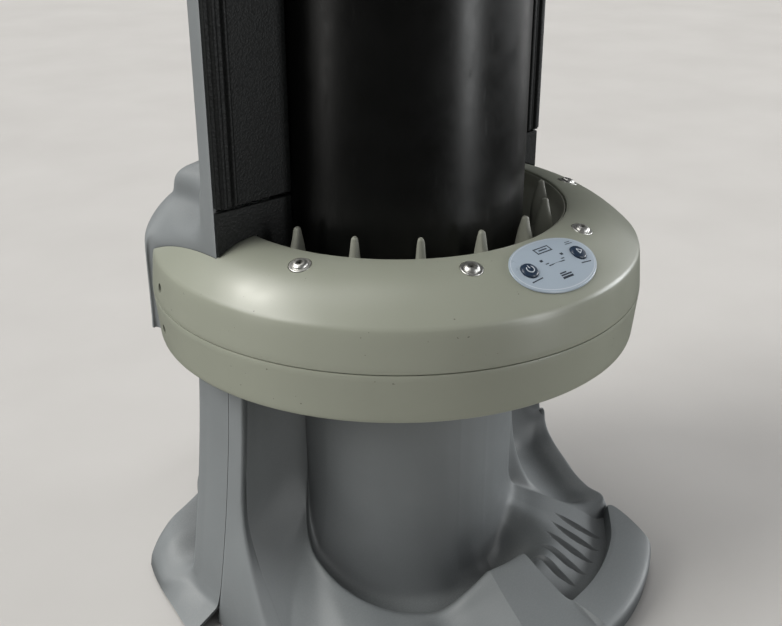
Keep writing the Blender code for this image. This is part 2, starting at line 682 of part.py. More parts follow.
# ---- control pad and buttons ---------------------------------------------------
PAD_R = 142.6                          # radius of the pad's middle
PAD_HALF_X, PAD_HALF_Y = 35.0, 21.0
PAD_RINGS, PAD_SIDES = 2, 30
PAD_UNDERSIDE, PAD_TOP = 0.3, 1.5      # heights above the dome along +Z
BUTTON_X = 22.4
BUTTON_HOLE_R = 5.9
BUTTON_PROFILE = [(0, 3.0), (3.2, 2.9), (4.9, 2.5), (5.5, 1.9), (5.5, -3.6), (0, -3.6)]

pad_middle = on_dome(PAD_R, 0.0)
pad_x = Vector((1, 0, 0))
pad_y = dome_normal(PAD_R, 0.0).cross(pad_x).normalized()


def pad_layer(build, lift):
    """Middle vertex and oval loops following the dome at a height above it."""
    loops = []
    for ring in range(PAD_RINGS + 1):
        share = ring / PAD_RINGS
        loop = []
        for step in range(PAD_SIDES if ring else 1):
            turn = 2 * math.pi * step / PAD_SIDES
            point = (pad_middle + pad_x * PAD_HALF_X * share * math.cos(turn)
                     + pad_y * PAD_HALF_Y * share * math.sin(turn))
            height = dome(math.hypot(point.x, point.y)) + lift
            loop.append(build.verts.new(Vector((point.x, point.y, height)) * MM))
        loops.append(loop)
    return loops


def control_pad():
    """Oval film lying on the dome."""
    build = bmesh.new()
    layers = [pad_layer(build, lift) for lift in (PAD_TOP, PAD_UNDERSIDE)]
    steps = [(i, (i + 1) % PAD_SIDES) for i in range(PAD_SIDES)]
    for loops in layers:
        for i, after in steps:
            build.faces.new((loops[0][0], loops[1][i], loops[1][after]))
        for inner, outer in zip(loops[1:], loops[2:]):
            for i, after in steps:
                build.faces.new((inner[i], outer[i], outer[after], inner[after]))
    upper, lower = layers[0][-1], layers[1][-1]
    for i, after in steps:
        build.faces.new((upper[i], lower[i], lower[after], upper[after]))
    return from_bmesh("control_pad", build, "pad_film", True)


pad = control_pad()
for word, side in (("power", -1), ("start", 1)):
    centre = pad_middle + pad_x * side * BUTTON_X
    radius = math.hypot(centre.x, centre.y)
    seat = Vector((centre.x, centre.y, dome(radius)))
    normal = dome_normal(radius, math.degrees(math.atan2(centre.x, -centre.y)))
    boolean(pad, rod("pad_hole_" + word, BUTTON_HOLE_R, 12, seat - normal * 6, normal, 20))
    boolean(collar_upper,
            rod("button_well_" + word, BUTTON_HOLE_R, 14, seat - normal * 8, normal, 20))
    turned(word + "_button", BUTTON_PROFILE, "button_navy", 20, frame_z(seat, normal))

# ---- collar side screws --------------------------------------------------------
SIDE_SCREW_Y = 50.0
SIDE_SCREW_PROFILE = [(0, 0.2), (1.5, 0.2), (1.6, 1.7), (3.0, 1.0), (3.0, -1.0), (1.5, -1.0),
                      (1.5, -7.0), (0, -7.0)]
# level, collar half, height, how far the wall there lies inside COLLAR_R
SIDE_SCREWS = (("upper", collar_upper, 242.0, 0.9), ("lower", collar_lower, 212.6, 1.3))
for side, word in ((-1, "left"), (1, "right")):
    for level, shell, z, inset in SIDE_SCREWS:
        wall_x = math.sqrt((COLLAR_R - inset) ** 2 - SIDE_SCREW_Y ** 2)
        tag = "%s_%s" % (word, level)
        boolean(shell, rod("side_cut_" + tag, 3.4, 12, (side * (wall_x + 6), SIDE_SCREW_Y, z),
                           (-side, 0, 0), 14))
        turned("side_screw_" + tag, SIDE_SCREW_PROFILE, "screw_steel", 10,
               frame_z((side * (wall_x - 3.2), SIDE_SCREW_Y, z), (side, 0, 0)))

# ---- chassis --------------------------------------------------------------------
PLATE_TOP = 7.5           # top of the base plate
DECK_Z0, DECK_Z1 = 197.0, 201.0
FOOT_PROFILE = [(0, 4.7), (12.5, 4.7), (13.2, 0.8), (12.5, 0), (0, 0)]
turned("base_plate", [(0, PLATE_TOP), (112.0, PLATE_TOP), (112.0, 5.0), (0, 5.0)],
       "plate_steel", 36)
for k, (x, y) in enumerate(((-72, -66), (72, -66), (-72, 72), (72, 72))):
    turned("rubber_foot_%d" % (k + 1), FOOT_PROFILE, "foot_rubber", 16,
           frame_z((x, y, 0), (0, 0, 1)))
tube("support_column", 66.0, 63.5, PLATE_TOP + GAP, 196.5, "plate_steel", 32)
tube("collar_deck", 83.0, 40.0, DECK_Z0, DECK_Z1, "aluminium", 32)

# ---- optics -----------------------------------------------------------------------
SLIT_Z0, SLIT_Z1 = 236.5, 241.5        # open slit between the two scan cylinders
OPTICS_Z0, OPTICS_Z1 = DECK_Z1 + GAP, 205.3
MOUNT_Z = OPTICS_Z1 + GAP              # underside of parts on the optics plate
tube("scan_cylinder_lower", 87.0, 84.4, DECK_Z0 + GAP, SLIT_Z0, "black_plastic", 40)
tube("scan_cylinder_upper", 87.0, 84.4, SLIT_Z1, 262.0, "black_plastic", 40)
turned("optics_plate", [(0, OPTICS_Z1), (82.0, OPTICS_Z1), (82.0, OPTICS_Z0), (0, OPTICS_Z0)],
       "aluminium", 36)
turned("scan_motor",
       [(0, 231.0), (2.0, 231.0), (2.0, 227.5), (15.0, 227.5), (16.5, 226.0), (16.5, MOUNT_Z),
        (0, MOUNT_Z)], "plate_steel", 24)
scan_head = turned("scan_head",
                   [(0, 252.0), (9.5, 252.0), (12.5, 249.0), (12.5, 233.0), (2.4, 233.0),
                    (2.4, 231.3), (0, 231.3)], "aluminium", 24)
boolean(scan_head, block("head_window", (-20, -4.5, 235.5), (-1.0, 4.5, 243.0)))
block("laser_module", (-62, -9, MOUNT_Z), (-24, 9, 224), "aluminium", 1.0)
turned("light_collector",
       [(62.0, 250.0), (62.0, 243.0), (40.0, 246.5), (24.0, 250.0), (24.0, 252.5), (58.0, 250.0)],
       "optic_mirror", 28)
block("photomultiplier_housing", (24, -15, MOUNT_Z), (62, 15, 238), "plate_steel", 1.2)

# ---- plate transport ----------------------------------------------------------------
# one roller under each lane; the last one, on the +X side, carries the drive gear
NIP_R = 95.7              # radius of the feed roller axes
ROLLER_R, ROLLER_HALF = 6.5, 12.5
AXLE_R, AXLE_END = 2.0, 16.0
DRIVE_AXLE_END = 28.0
ROLLER_Z = 222.5
DRIVE_LANE = LANES - 1
MODULE = 1.0
GEAR_TEETH, PINION_TEETH = 18, 9
GEAR_Z0, GEAR_Z1 = 21.5, 26.5          # along the driven roller's axis, from its middle
CENTRES = MODULE * (GEAR_TEETH + PINION_TEETH) / 2 + 0.25
# tooth corners: share of the tooth pitch, height over the pitch circle
TOOTH = ((-0.27, -1.1), (-0.12, 0.75), (0.12, 0.75), (0.27, -1.1))

lane_angles = [(k - (LANES - 1) / 2) * LANE_STEP for k in range(LANES)]
for k, angle in enumerate(lane_angles):
    end = DRIVE_AXLE_END if k == DRIVE_LANE else AXLE_END
    turned("feed_roller_%d" % (k + 1),
           [(0, end), (AXLE_R, end), (AXLE_R, ROLLER_HALF), (ROLLER_R, ROLLER_HALF),
            (ROLLER_R, -ROLLER_HALF), (AXLE_R, -ROLLER_HALF), (AXLE_R, -AXLE_END), (0, -AXLE_END)],
           "roller_rubber", 14,
           frame_z((*polar(NIP_R, angle), ROLLER_Z), (*polar(1.0, angle + 90), 0)))


def spur(name, teeth, z0, z1, bore, frame):
    """Spur wheel about the frame's Z, one tooth on its local X."""
    pitch_radius = MODULE * teeth / 2
    points = []
    for i in range(teeth):
        for share, height in TOOTH:
            turn = 2 * math.pi * (i + share) / teeth
            radius = pitch_radius + height
            points.append((radius * math.cos(turn), radius * math.sin(turn)))
    wheel = outline(name, points, z0, z1, "nylon_white")
    wheel.matrix_world = frame @ wheel.matrix_world
    hole = rod(name + "_bore", bore, z1 - z0 + 4, (0, 0, z0 - 2), (0, 0, 1), 14)
    hole.matrix_world = frame @ hole.matrix_world
    boolean(wheel, hole)


drive_angle = lane_angles[DRIVE_LANE]
outward = Vector((*polar(1.0, drive_angle), 0))
along = Vector((*polar(1.0, drive_angle + 90), 0))
roller_middle = Vector((*polar(NIP_R, drive_angle), ROLLER_Z))
roller_frame = axis_frame(roller_middle, outward, along)
motor_frame = axis_frame(roller_middle + outward * CENTRES, outward, along)
spur("drive_gear", GEAR_TEETH, GEAR_Z0, GEAR_Z1, 2.2, roller_frame)
spur("motor_pinion", PINION_TEETH, GEAR_Z0 + 0.5, GEAR_Z1 - 0.5, 1.4, motor_frame)
turned("transport_motor",
       [(0, 60.0), (11.0, 60.0), (12.0, 58.5), (12.0, 30.5), (4.0, 30.5), (4.0, 28.5),
        (1.2, 28.5), (1.2, 20.0), (0, 20.0)], "plate_steel", 24, motor_frame)
tube("erase_lamp_ring", 106.0, 98.5, 204.0, 207.0, "nylon_white", 32)

# ---- electrics --------------------------------------------------------------------
block("main_board", (-46, 74, 30), (46, 76, 130), "board_green")
block("power_supply", (-44, -34, PLATE_TOP + GAP), (44, 30, 50), "plate_steel", 1.5)
block("control_board", (-26, -146, 240.5), (26, -124, 242.1), "board_green")
boolean(base_rear, block("panel_window", (-42, 120, 68), (42, 195, 112)))
panel = block("connector_panel", (-45, 141.2, 64), (45, 143.0, 116), "plate_steel")

FITTING_Z = 92
SWITCH_X = 4
# name, cutter prefix, x, half width, half height, y range, material, bevel,
# then the well's half width, half height and floor y
FITTINGS = (
    ("power_inlet", "inlet", -24, 13.5, 11, (133, 145.6), "black_plastic", 1.0, 10.5, 7, 137),
    ("switch_frame", "switch", SWITCH_X, 8, 12, (135, 145.2), "black_plastic", 0.8, 6, 10, 136.5),
    ("data_port", "port", 28, 7, 6.5, (135, 144.8), "plate_steel", 0.5, 5, 4.5, 138),
)


def upright_block(name, x, half_x, half_z, y_range, mat=None, bevel=0.0):
    """Block centred on x and the height of the fittings."""
    return block(name, (x - half_x, y_range[0], FITTING_Z - half_z),
                 (x + half_x, y_range[1], FITTING_Z + half_z), mat, bevel)


for (name, prefix, x, half_x, half_z, y_range, mat, bevel,
     well_x, well_z, well_y) in FITTINGS:
    body = upright_block(name, x, half_x, half_z, y_range, mat, bevel)
    boolean(body, upright_block(prefix + "_well", x, well_x, well_z, (well_y, 160)))
    boolean(panel, upright_block(prefix + "_window", x, half_x + GAP, half_z + GAP, (130, 160)))

# rocker: its outer face is a shallow V; the profile is extruded along X and tilted about X
ROCKER_Y = 140.6
ROCKER_TILT = 9.0
ROCKER_HALF_X = 5.3
ROCKER_PROFILE = [(-8.6, 3.4), (-8.6, 2.0), (-4.5, -2.2), (4.5, -2.2), (8.6, 2.0), (8.6, 3.4),
                  (0.0, 2.2)]
rocker = outline("power_switch", ROCKER_PROFILE, -ROCKER_HALF_X, ROCKER_HALF_X, "black_plastic")
profile_to_side = Matrix(((0, 0, 1, 0), (0, 1, 0, 0), (-1, 0, 0, 0), (0, 0, 0, 1)))
rocker.matrix_world = (Matrix.Translation(Vector((SWITCH_X, ROCKER_Y, FITTING_Z)) * MM)
                       @ Matrix.Rotation(math.radians(-ROCKER_TILT), 4, "X")
                       @ profile_to_side)

# ---- cooling fan, just inside the louvres of the rear cover -------------------------
FAN_Y, FAN_Z = 138.5, 158
HUB_R, HUB_HALF = 11.0, 4.5
BLADES = 5
SHROUD_Y0, SHROUD_Y1 = FAN_Y - 6, FAN_Y + 6
LOUVRES, LOUVRE_PITCH, LOUVRE_HALF = 6, 8.4, 1.7
LOUVRE_FIELD_R = 28.0     # the louvre ends lie on this circle
fan_frame = frame_z((0, FAN_Y, FAN_Z), (0, 1, 0))


def fan_blade(number):
    """Flat blade pitched about its length, moved out and turned to its place."""
    build = bmesh.new()
    bmesh.ops.create_cube(build, size=1.0)
    bmesh.ops.scale(build, vec=(17 * MM, 9.5 * MM, 1.6 * MM), verts=build.verts)
    bmesh.ops.rotate(build, cent=(0, 0, 0), verts=build.verts,
                     matrix=Matrix.Rotation(math.radians(38), 3, "X"))
    bmesh.ops.translate(build, vec=(17.5 * MM, 0, 0), verts=build.verts)
    bmesh.ops.rotate(build, cent=(0, 0, 0), verts=build.verts,
                     matrix=Matrix.Rotation(math.radians(360 / BLADES * number), 3, "Z"))
    blade = from_bmesh("fan_blade_%d" % number, build, None, False)
    blade.matrix_world = fan_frame
    return blade


fan = turned("cooling_fan", [(0, HUB_HALF), (HUB_R, HUB_HALF), (HUB_R, -HUB_HALF), (0, -HUB_HALF)],
             "black_plastic", 20, fan_frame)
for k in range(BLADES):
    boolean(fan, fan_blade(k), "UNION")

shroud = block("fan_shroud", (-31, SHROUD_Y0, FAN_Z - 30), (31, SHROUD_Y1, FAN_Z + 30),
               "black_plastic")
boolean(shroud, rod("shroud_bore", 27.6, 20, (0, 128, FAN_Z), (0, 1, 0), 28))
boolean(shroud, rod("fan_bearing", 9.0, 1.2, (0, SHROUD_Y0, FAN_Z), (0, 1, 0), 20), "UNION")
for k, (half_x, half_z) in enumerate(((29, 1.5), (1.5, 29))):
    spoke = block("fan_spoke_%d" % k, (-half_x, SHROUD_Y0, FAN_Z - half_z),
                  (half_x, SHROUD_Y0 + 1.1, FAN_Z + half_z))
    boolean(shroud, spoke, "UNION")

for k in range(LOUVRES):
    rise = LOUVRE_PITCH * (k - (LOUVRES - 1) / 2)
    half = math.sqrt(LOUVRE_FIELD_R ** 2 - rise ** 2)
    z = FAN_Z + rise
    boolean(base_rear, block("louvre_%d" % k, (-half, 120, z - LOUVRE_HALF),
                             (half, 175, z + LOUVRE_HALF)))
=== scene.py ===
"""Imaging-plate scanner: detailed shells and materials laid over its CAD frame.

An upright drum stands on the Z axis. A domed collar rings it, a tower wraps its back, and a
spreading base carries them on the floor, z = 0. The front faces -Y and the right side is +X.
The product is measured in millimetres (MM turns them into metres); the stage is in metres.
"""
import json
import math

import bpy
import bmesh
import numpy as np
from mathutils import Matrix, Vector


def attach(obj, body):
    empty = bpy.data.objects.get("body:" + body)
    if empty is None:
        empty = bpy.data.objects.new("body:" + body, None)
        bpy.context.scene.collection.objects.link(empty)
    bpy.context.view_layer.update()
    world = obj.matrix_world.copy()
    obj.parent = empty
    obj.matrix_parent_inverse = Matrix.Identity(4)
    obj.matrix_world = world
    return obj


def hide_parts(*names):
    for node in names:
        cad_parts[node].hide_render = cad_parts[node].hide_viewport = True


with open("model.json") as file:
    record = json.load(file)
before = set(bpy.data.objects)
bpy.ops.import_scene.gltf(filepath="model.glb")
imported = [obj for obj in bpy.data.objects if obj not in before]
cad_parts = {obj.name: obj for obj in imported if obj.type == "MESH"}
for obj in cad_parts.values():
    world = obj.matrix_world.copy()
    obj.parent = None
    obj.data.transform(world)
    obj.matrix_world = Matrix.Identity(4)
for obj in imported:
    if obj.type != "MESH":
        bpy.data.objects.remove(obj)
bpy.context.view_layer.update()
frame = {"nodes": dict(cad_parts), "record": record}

# ---------------------------------------------------------------- driving sizes (mm)
MM = 0.001
GAP = 0.3                 # joint between neighbouring casings
SPLIT_Y = 3.0             # vertical split between front and rear casings

COLLAR_PART_Z = 230.0     # parting line of the collar
COLLAR_R = 170.0          # collar radius at the parting line
COLLAR_Z0 = 196.8         # underside of the collar
COLLAR_RIM_R = 116.8      # radius of the opening round the drum
COLLAR_RIM_Z = 280.9
COLLAR_CUT_X = 147.0      # half width of the tower where it cuts the collar
DOME_END_R = 167.5        # the dome's curve is measured from the rim to here
DOME_DROP = 24.0

DRUM_R = 87.4
DRUM_TOP = 548.0
TOWER_TOP = DRUM_TOP
TOWER_FRONT = 3.0
TOWER_HALF = 146.6        # half width of the tower's lower part

COLUMN_R = 87.0           # round column of the base
BASE_TOP = 196.0
BASE_RIM_R = 197.0
FOOT_H = 3.0              # casings hang this far above the floor
BELL_TOP = 110.0          # the front panel starts to flare out below this height

PANEL_SPLIT_Z = 305.0     # underside of the upper wing panels
FINGER_STEP = 22.5        # degrees between the guide fingers

SCREW_R = 133.2
SCREW_ANGLES = (-67.5, -22.5, 22.5, 67.5)
SCREW_SINK = 1.2          # depth of the screw seats below the dome
SIDE_SCREW_Y = 50.0
# word, height, distance of the wall inside COLLAR_R
SIDE_SCREWS = (("upper", 242.0, 0.9), ("lower", 212.6, 1.3))
SIDES = ((-1, "left"), (1, "right"))

PAD_R = 142.6             # plan radius of the pad's centre
PAD_A, PAD_B = 35.0, 21.0  # half axes of the oval pad
BUTTON_X = 22.4           # buttons either side of the pad's centre
BUTTON_HOLE_R = 5.9


# ---------------------------------------------------------------- plan and section curves
def polar(radius, angle):
    """Plan point at a radius, angle in degrees from the front (-Y) towards +X."""
    turn = math.radians(angle)
    return (radius * math.sin(turn), -radius * math.cos(turn))


def along(start, end, share):
    """Plan point part of the way from start to end."""
    return (start[0] + (end[0] - start[0]) * share, start[1] + (end[1] - start[1]) * share)


def ease(t):
    t = min(max(t, 0.0), 1.0)
    return t * t * (3 - 2 * t)


def dome(radius):
    """Height of the collar's upper surface."""
    t = (radius - COLLAR_RIM_R) / (DOME_END_R - COLLAR_RIM_R)
    t = min(max(t, 0.0), 1.0)
    return COLLAR_RIM_Z - DOME_DROP * t ** 2.05 + 0.1 * t


def dome_normal(radius, angle):
    slope = (dome(radius + 0.5) - dome(radius - 0.5))
    turn = math.radians(angle)
    return Vector((-slope * math.sin(turn), slope * math.cos(turn), 1.0)).normalized()


def on_dome(radius, angle, lift=0.0):
    x, y = polar(radius, angle)
    return Vector((x, y, dome(radius))) + dome_normal(radius, angle) * lift


def side_x(z):
    """Half width of the base's flat side at height z: a slow outward sweep."""
    drop = BASE_TOP - z
    return 143.7 + 0.0479 * drop + 0.000367 * drop * drop


def bell(z):
    """Flare of the front panel: 0 at BELL_TOP and above, 1 at the floor."""
    return max(1.0 - z / BELL_TOP, 0.0) ** 2


# ---------------------------------------------------------------- shader node helpers
MAT = {}


def feed(tree, node, inputs):
    """Links or sets inputs of a node, given as {socket name or number: output or value}."""
    for key, value in inputs.items():
        if isinstance(value, bpy.types.NodeSocket):
            tree.links.new(value, node.inputs[key])
        else:
            node.inputs[key].default_value = value


def add_node(tree, kind, inputs, **settings):
    node = tree.nodes.new("ShaderNode" + kind)
    for key, value in settings.items():
        setattr(node, key, value)
    feed(tree, node, inputs)
    return node


def new_material(name):
    """Empty material, kept in MAT: its tree, Principled shader and object coordinates."""
    MAT[name] = bpy.data.materials.new(name)
    MAT[name].use_nodes = True
    tree = MAT[name].node_tree
    tree.nodes.clear()
    out = tree.nodes.new("ShaderNodeOutputMaterial")
    shader = tree.nodes.new("ShaderNodeBsdfPrincipled")
    tree.links.new(shader.outputs["BSDF"], out.inputs["Surface"])
    coord = tree.nodes.new("ShaderNodeTexCoord")
    return tree, shader, coord.outputs["Object"]


def noise(tree, vector, scale, detail=2.0, rough=0.5, distort=0.0):
    return add_node(tree, "TexNoise", {"Scale": scale, "Detail": detail, "Roughness": rough,
                                       "Distortion": distort, "Vector": vector}).outputs["Fac"]


def span(tree, value, source, result=(0.0, 1.0)):
    """Maps the source range onto the result range, clamped."""
    return add_node(tree, "MapRange", {
        "From Min": source[0], "From Max": source[1], "To Min": result[0], "To Max": result[1],
        "Value": value}).outputs["Result"]


def combine(tree, operation, first, second):
    return add_node(tree, "Math", {0: first, 1: second}, operation=operation).outputs[0]


def mix(tree, share, *colours):
    """Blends two colours, each an output or an RGB triple."""
    first, second = (c if isinstance(c, bpy.types.NodeSocket) else (*c, 1.0) for c in colours)
    return add_node(tree, "Mix", {0: share, 6: first, 7: second}, data_type="RGBA").outputs[2]


def bump(tree, height, distance, before=None):
    """Bump of a depth in metres, laid over the normal given as before."""
    inputs = {"Distance": distance, "Strength": 1.0, "Height": height}
    if before is not None:
        inputs["Normal"] = before
    return add_node(tree, "Bump", inputs).outputs["Normal"]


def stretch(tree, vector, scale):
    return add_node(tree, "Mapping", {"Scale": scale, "Vector": vector}).outputs["Vector"]


def scaled(colour, factor):
    return [c * factor for c in colour]


# ---------------------------------------------------------------- kinds of material
def moulded(name, colour, rough, grain_mm, depth_mm, mottle=0.05, rough_var=0.05, edge=0.0,
            specks=0.0, peel_mm=0.0, peel_depth=0.0, coat=0.0, dust=0.0, spec=0.5, marks=0.0,
            painted_shade=0.0):
    """Moulded or painted plastic: fine grain, mottling, uneven sheen, and optional wear.

    edge: worn edges and painted shade in concave creases; peel: orange-peel bump (mm); marks:
    scratches in the sheen; painted_shade: painted shade in enclosed places, from ambient
    occlusion; mottle and rough_var: spread about the mean.
    """
    tree, shader, here = new_material(name)
    slow = noise(tree, here, scale=14.0, detail=3.0)
    tint = mix(tree, span(tree, slow, (0.35, 0.65)),
               scaled(colour, 1 - mottle), scaled(colour, 1 + mottle))
    if edge:
        point = add_node(tree, "NewGeometry", {}).outputs["Pointiness"]
        worn = span(tree, point, (0.52, 0.60), (0.0, edge))
        tint = mix(tree, worn, tint, [c * 1.5 + 0.02 for c in colour])
        # painted shade: concave creases are darkened towards 0.6 of the colour
        painted_crease_shade = span(tree, point, (0.48, 0.40), (0.0, edge))
        tint = mix(tree, painted_crease_shade, tint, scaled(colour, 0.6))
    if painted_shade:
        # painted shade: ambient occlusion darkens enclosed places towards a tenth of the colour
        shade = add_node(tree, "AmbientOcclusion", {"Distance": 0.075}, samples=6)
        occlusion_shade = span(tree, shade.outputs["AO"], (0.20, 0.92), (painted_shade, 0.0))
        tint = mix(tree, occlusion_shade, tint, scaled(colour, 0.10))
    if specks:
        dots = span(tree, noise(tree, here, scale=420.0, detail=1.0), (0.765, 0.80))
        areas = span(tree, noise(tree, here, scale=30.0, detail=1.0), (0.5, 0.6), (0.0, specks))
        tint = mix(tree, combine(tree, "MULTIPLY", dots, areas), tint, scaled(colour, 0.25))
    if dust:
        normal = add_node(tree, "NewGeometry", {}).outputs["Normal"]
        upward = add_node(tree, "SeparateXYZ", {0: normal}).outputs["Z"]
        level = span(tree, upward, (0.55, 1.0), (0.0, dust))
        fine = span(tree, noise(tree, here, scale=900.0, detail=4.0, rough=0.7), (0.45, 0.7))
        tint = mix(tree, combine(tree, "MULTIPLY", level, fine), tint, (0.55, 0.54, 0.52))
    gloss = noise(tree, here, scale=55.0, detail=5.0, rough=0.6)
    rough_out = span(tree, gloss, (0.3, 0.7), (rough - rough_var, rough + rough_var))
    if marks:
        scratch = noise(tree, stretch(tree, here, (260.0, 260.0, 40.0)),
                        scale=1.0, detail=3.0, rough=0.6, distort=0.4)
        more = span(tree, scratch, (0.62, 0.72), (0.0, marks))
        rough_out = combine(tree, "ADD", rough_out, more)
    grain = noise(tree, here, scale=1000.0 / grain_mm, detail=2.0, rough=0.6)
    normal = bump(tree, grain, depth_mm * MM)
    if peel_mm:
        peel = noise(tree, here, scale=1000.0 / peel_mm, detail=1.0)
        normal = bump(tree, peel, peel_depth * MM, normal)
    feed(tree, shader, {"Base Color": tint, "Roughness": rough_out,
                        "Specular IOR Level": spec, "Normal": normal})
    if coat:
        feed(tree, shader, {"Coat Weight": coat, "Coat Roughness": 0.28})


def leather(name, colour, rough):
    """Black plastic with a moulded leather grain of about 1 mm cells."""
    tree, shader, here = new_material(name)
    warp = add_node(tree, "TexNoise", {"Scale": 700.0, "Vector": here})
    push = add_node(tree, "VectorMath", {0: warp.outputs["Color"], 1: (0.0006, 0.0006, 0.0006),
                                         2: here}, operation="MULTIPLY_ADD")
    cell = add_node(tree, "TexVoronoi", {"Scale": 820.0, "Vector": push.outputs[0]},
                    feature="SMOOTH_F1")
    hills = span(tree, cell.outputs["Distance"], (0.0, 0.75), (1.0, 0.0))
    normal = bump(tree, hills, distance=0.00016)
    fine = noise(tree, here, scale=3000.0, detail=2.0)
    feed(tree, shader, {
        "Normal": bump(tree, fine, distance=0.00002, before=normal),
        "Base Color": mix(tree, hills, scaled(colour, 0.6), scaled(colour, 1.35)),
        "Specular IOR Level": 0.28,
        "Roughness": span(tree, hills, (0.0, 1.0), (rough + 0.12, rough - 0.08))})


def metal(name, colour, rough, grain, depth, brush=(1.0, 1.0, 1.0), stain=0.08):
    """Plated or brushed metal: lines of a depth in metres, drawn out along low brush axes."""
    tree, shader, here = new_material(name)
    lines = noise(tree, stretch(tree, here, scaled(brush, grain)),
                  scale=1.0, detail=3.0, rough=0.7)
    slow = noise(tree, here, scale=60.0, detail=4.0, rough=0.6)
    feed(tree, shader, {
        "Metallic": 1.0,
        "Base Color": mix(tree, span(tree, slow, (0.35, 0.7)), colour, scaled(colour, 1 - stain)),
        "Roughness": span(tree, lines, (0.3, 0.7), (rough - 0.07, rough + 0.09)),
        "Normal": bump(tree, lines, depth)})


def board(name):
    """Circuit board: solder mask with tracks and pads."""
    tree, shader, here = new_material(name)
    brick = add_node(tree, "TexBrick", {
        "Scale": 260.0, "Mortar Size": 0.08, "Color1": (0.010, 0.085, 0.030, 1),
        "Color2": (0.012, 0.110, 0.042, 1), "Mortar": (0.030, 0.190, 0.080, 1), "Vector": here})
    dots = add_node(tree, "TexVoronoi", {"Scale": 300.0, "Vector": here})
    pads = span(tree, dots.outputs["Distance"], (0.16, 0.20), (1.0, 0.0))
    feed(tree, shader, {
        "Base Color": mix(tree, pads, brick.outputs["Color"], (0.62, 0.60, 0.52)),
        "Metallic": pads,
        "Normal": bump(tree, brick.outputs["Fac"], distance=0.00003),
        "Roughness": 0.38})


# ---------------------------------------------------------------- materials
# materials given edge get painted shade in their creases; casing_grey also gets painted shade in
# enclosed places
moulded("casing_grey", (0.235, 0.254, 0.262), rough=0.50, grain_mm=0.42, depth_mm=0.022,
        mottle=0.035, edge=0.25, dust=0.10, marks=0.08, painted_shade=0.85)
moulded("collar_beige", (0.338, 0.354, 0.288), rough=0.36, grain_mm=0.30, depth_mm=0.006,
        mottle=0.02, rough_var=0.04, edge=0.15, specks=0.9, peel_mm=1.6, peel_depth=0.012,
        coat=0.15, dust=0.04)
moulded("drum_black", (0.0034, 0.0037, 0.0036), rough=0.33, grain_mm=0.50, depth_mm=0.016,
        mottle=0.10, spec=0.42, marks=0.10)
leather("panel_black", (0.0125, 0.0145, 0.0145), rough=0.50)
moulded("guide_beige", (0.300, 0.306, 0.255), rough=0.52, grain_mm=0.35, depth_mm=0.015,
        mottle=0.04, edge=0.15)
moulded("pad_film", (0.44, 0.52, 0.60), rough=0.30, grain_mm=0.18, depth_mm=0.004,
        mottle=0.015, rough_var=0.03, coat=0.3)
moulded("button_navy", (0.022, 0.042, 0.078), rough=0.34, grain_mm=0.20, depth_mm=0.006,
        rough_var=0.04, coat=0.2)
metal("screw_steel", (0.74, 0.735, 0.71), rough=0.40, grain=1500.0, depth=0.000006)
metal("plate_steel", (0.52, 0.53, 0.54), rough=0.40, grain=2500.0, depth=0.000012,
      brush=(0.15, 1.0, 1.0), stain=0.18)
metal("aluminium", (0.72, 0.73, 0.74), rough=0.34, grain=2600.0, depth=0.000012,
      brush=(1.0, 1.0, 0.1))
moulded("foot_rubber", (0.020, 0.020, 0.020), rough=0.82, grain_mm=0.6, depth_mm=0.05,
        mottle=0.2, rough_var=0.06, dust=0.2, spec=0.3)
moulded("roller_rubber", (0.036, 0.036, 0.035), rough=0.74, grain_mm=0.4, depth_mm=0.05,
        mottle=0.15, rough_var=0.06, dust=0.1, spec=0.3)
moulded("nylon_white", (0.68, 0.67, 0.61), rough=0.42, grain_mm=0.5, depth_mm=0.01, mottle=0.04)
board("board_green")
moulded("black_plastic", (0.016, 0.016, 0.017), rough=0.46, grain_mm=0.35, depth_mm=0.02,
        mottle=0.10, rough_var=0.06, edge=0.2, dust=0.06)
metal("optic_mirror", (0.88, 0.89, 0.90), rough=0.07, grain=400.0, depth=0.000002, stain=0.02)
moulded("print_dark", (0.020, 0.030, 0.050), rough=0.45, grain_mm=0.2, depth_mm=0.003,
        rough_var=0.03)
moulded("print_pale", (0.62, 0.68, 0.74), rough=0.40, grain_mm=0.2, depth_mm=0.003,
        mottle=0.03, rough_var=0.03)
moulded("print_blue", (0.030, 0.210, 0.330), rough=0.42, grain_mm=0.2, depth_mm=0.003,
        rough_var=0.03)
metal("socket_dark", (0.10, 0.10, 0.095), rough=0.45, grain=1500.0, depth=0.00001, stain=0.3)

SLOT_OF = {row["node"]: row["material_slot"] for row in frame["record"]["subparts"]}
for node_name, cad_piece in frame["nodes"].items():
    cad_piece.data.materials.clear()
    cad_piece.data.materials.append(MAT[SLOT_OF[node_name]])


# ---------------------------------------------------------------- mesh helpers
def finish_piece(name, mesh, slot, body="chassis", replaces=None, smooth=30.0):
    """Object for a mesh, with its material, shading and place in the frame."""
    mesh.name = name
    obj = bpy.data.objects.new(name, mesh)
    bpy.context.scene.collection.objects.link(obj)
    mesh.materials.clear()
    mesh.materials.append(MAT[slot])
    mesh.shade_smooth()
    mesh.set_sharp_from_angle(angle=math.radians(smooth))
    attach(obj, body)
    if replaces:
        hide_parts(replaces)
    return obj


def closed_mesh(name, verts, faces, weld):
    """Mesh with its normals turned outward, coincident vertices merged if weld is set."""
    mesh = bpy.data.meshes.new(name)
    mesh.from_pydata([tuple(v) for v in verts], [], faces)
    bm = bmesh.new()
    bm.from_mesh(mesh)
    if weld:
        bmesh.ops.remove_doubles(bm, verts=bm.verts, dist=1e-6)
    bmesh.ops.recalc_face_normals(bm, faces=bm.faces[:])
    bm.to_mesh(mesh)
    bm.free()
    return mesh


def add(name, verts, faces, slot, body="chassis", replaces=None, smooth=30.0):
    mesh = closed_mesh(name, verts, faces, weld=True)
    return finish_piece(name, mesh, slot, body, replaces, smooth)


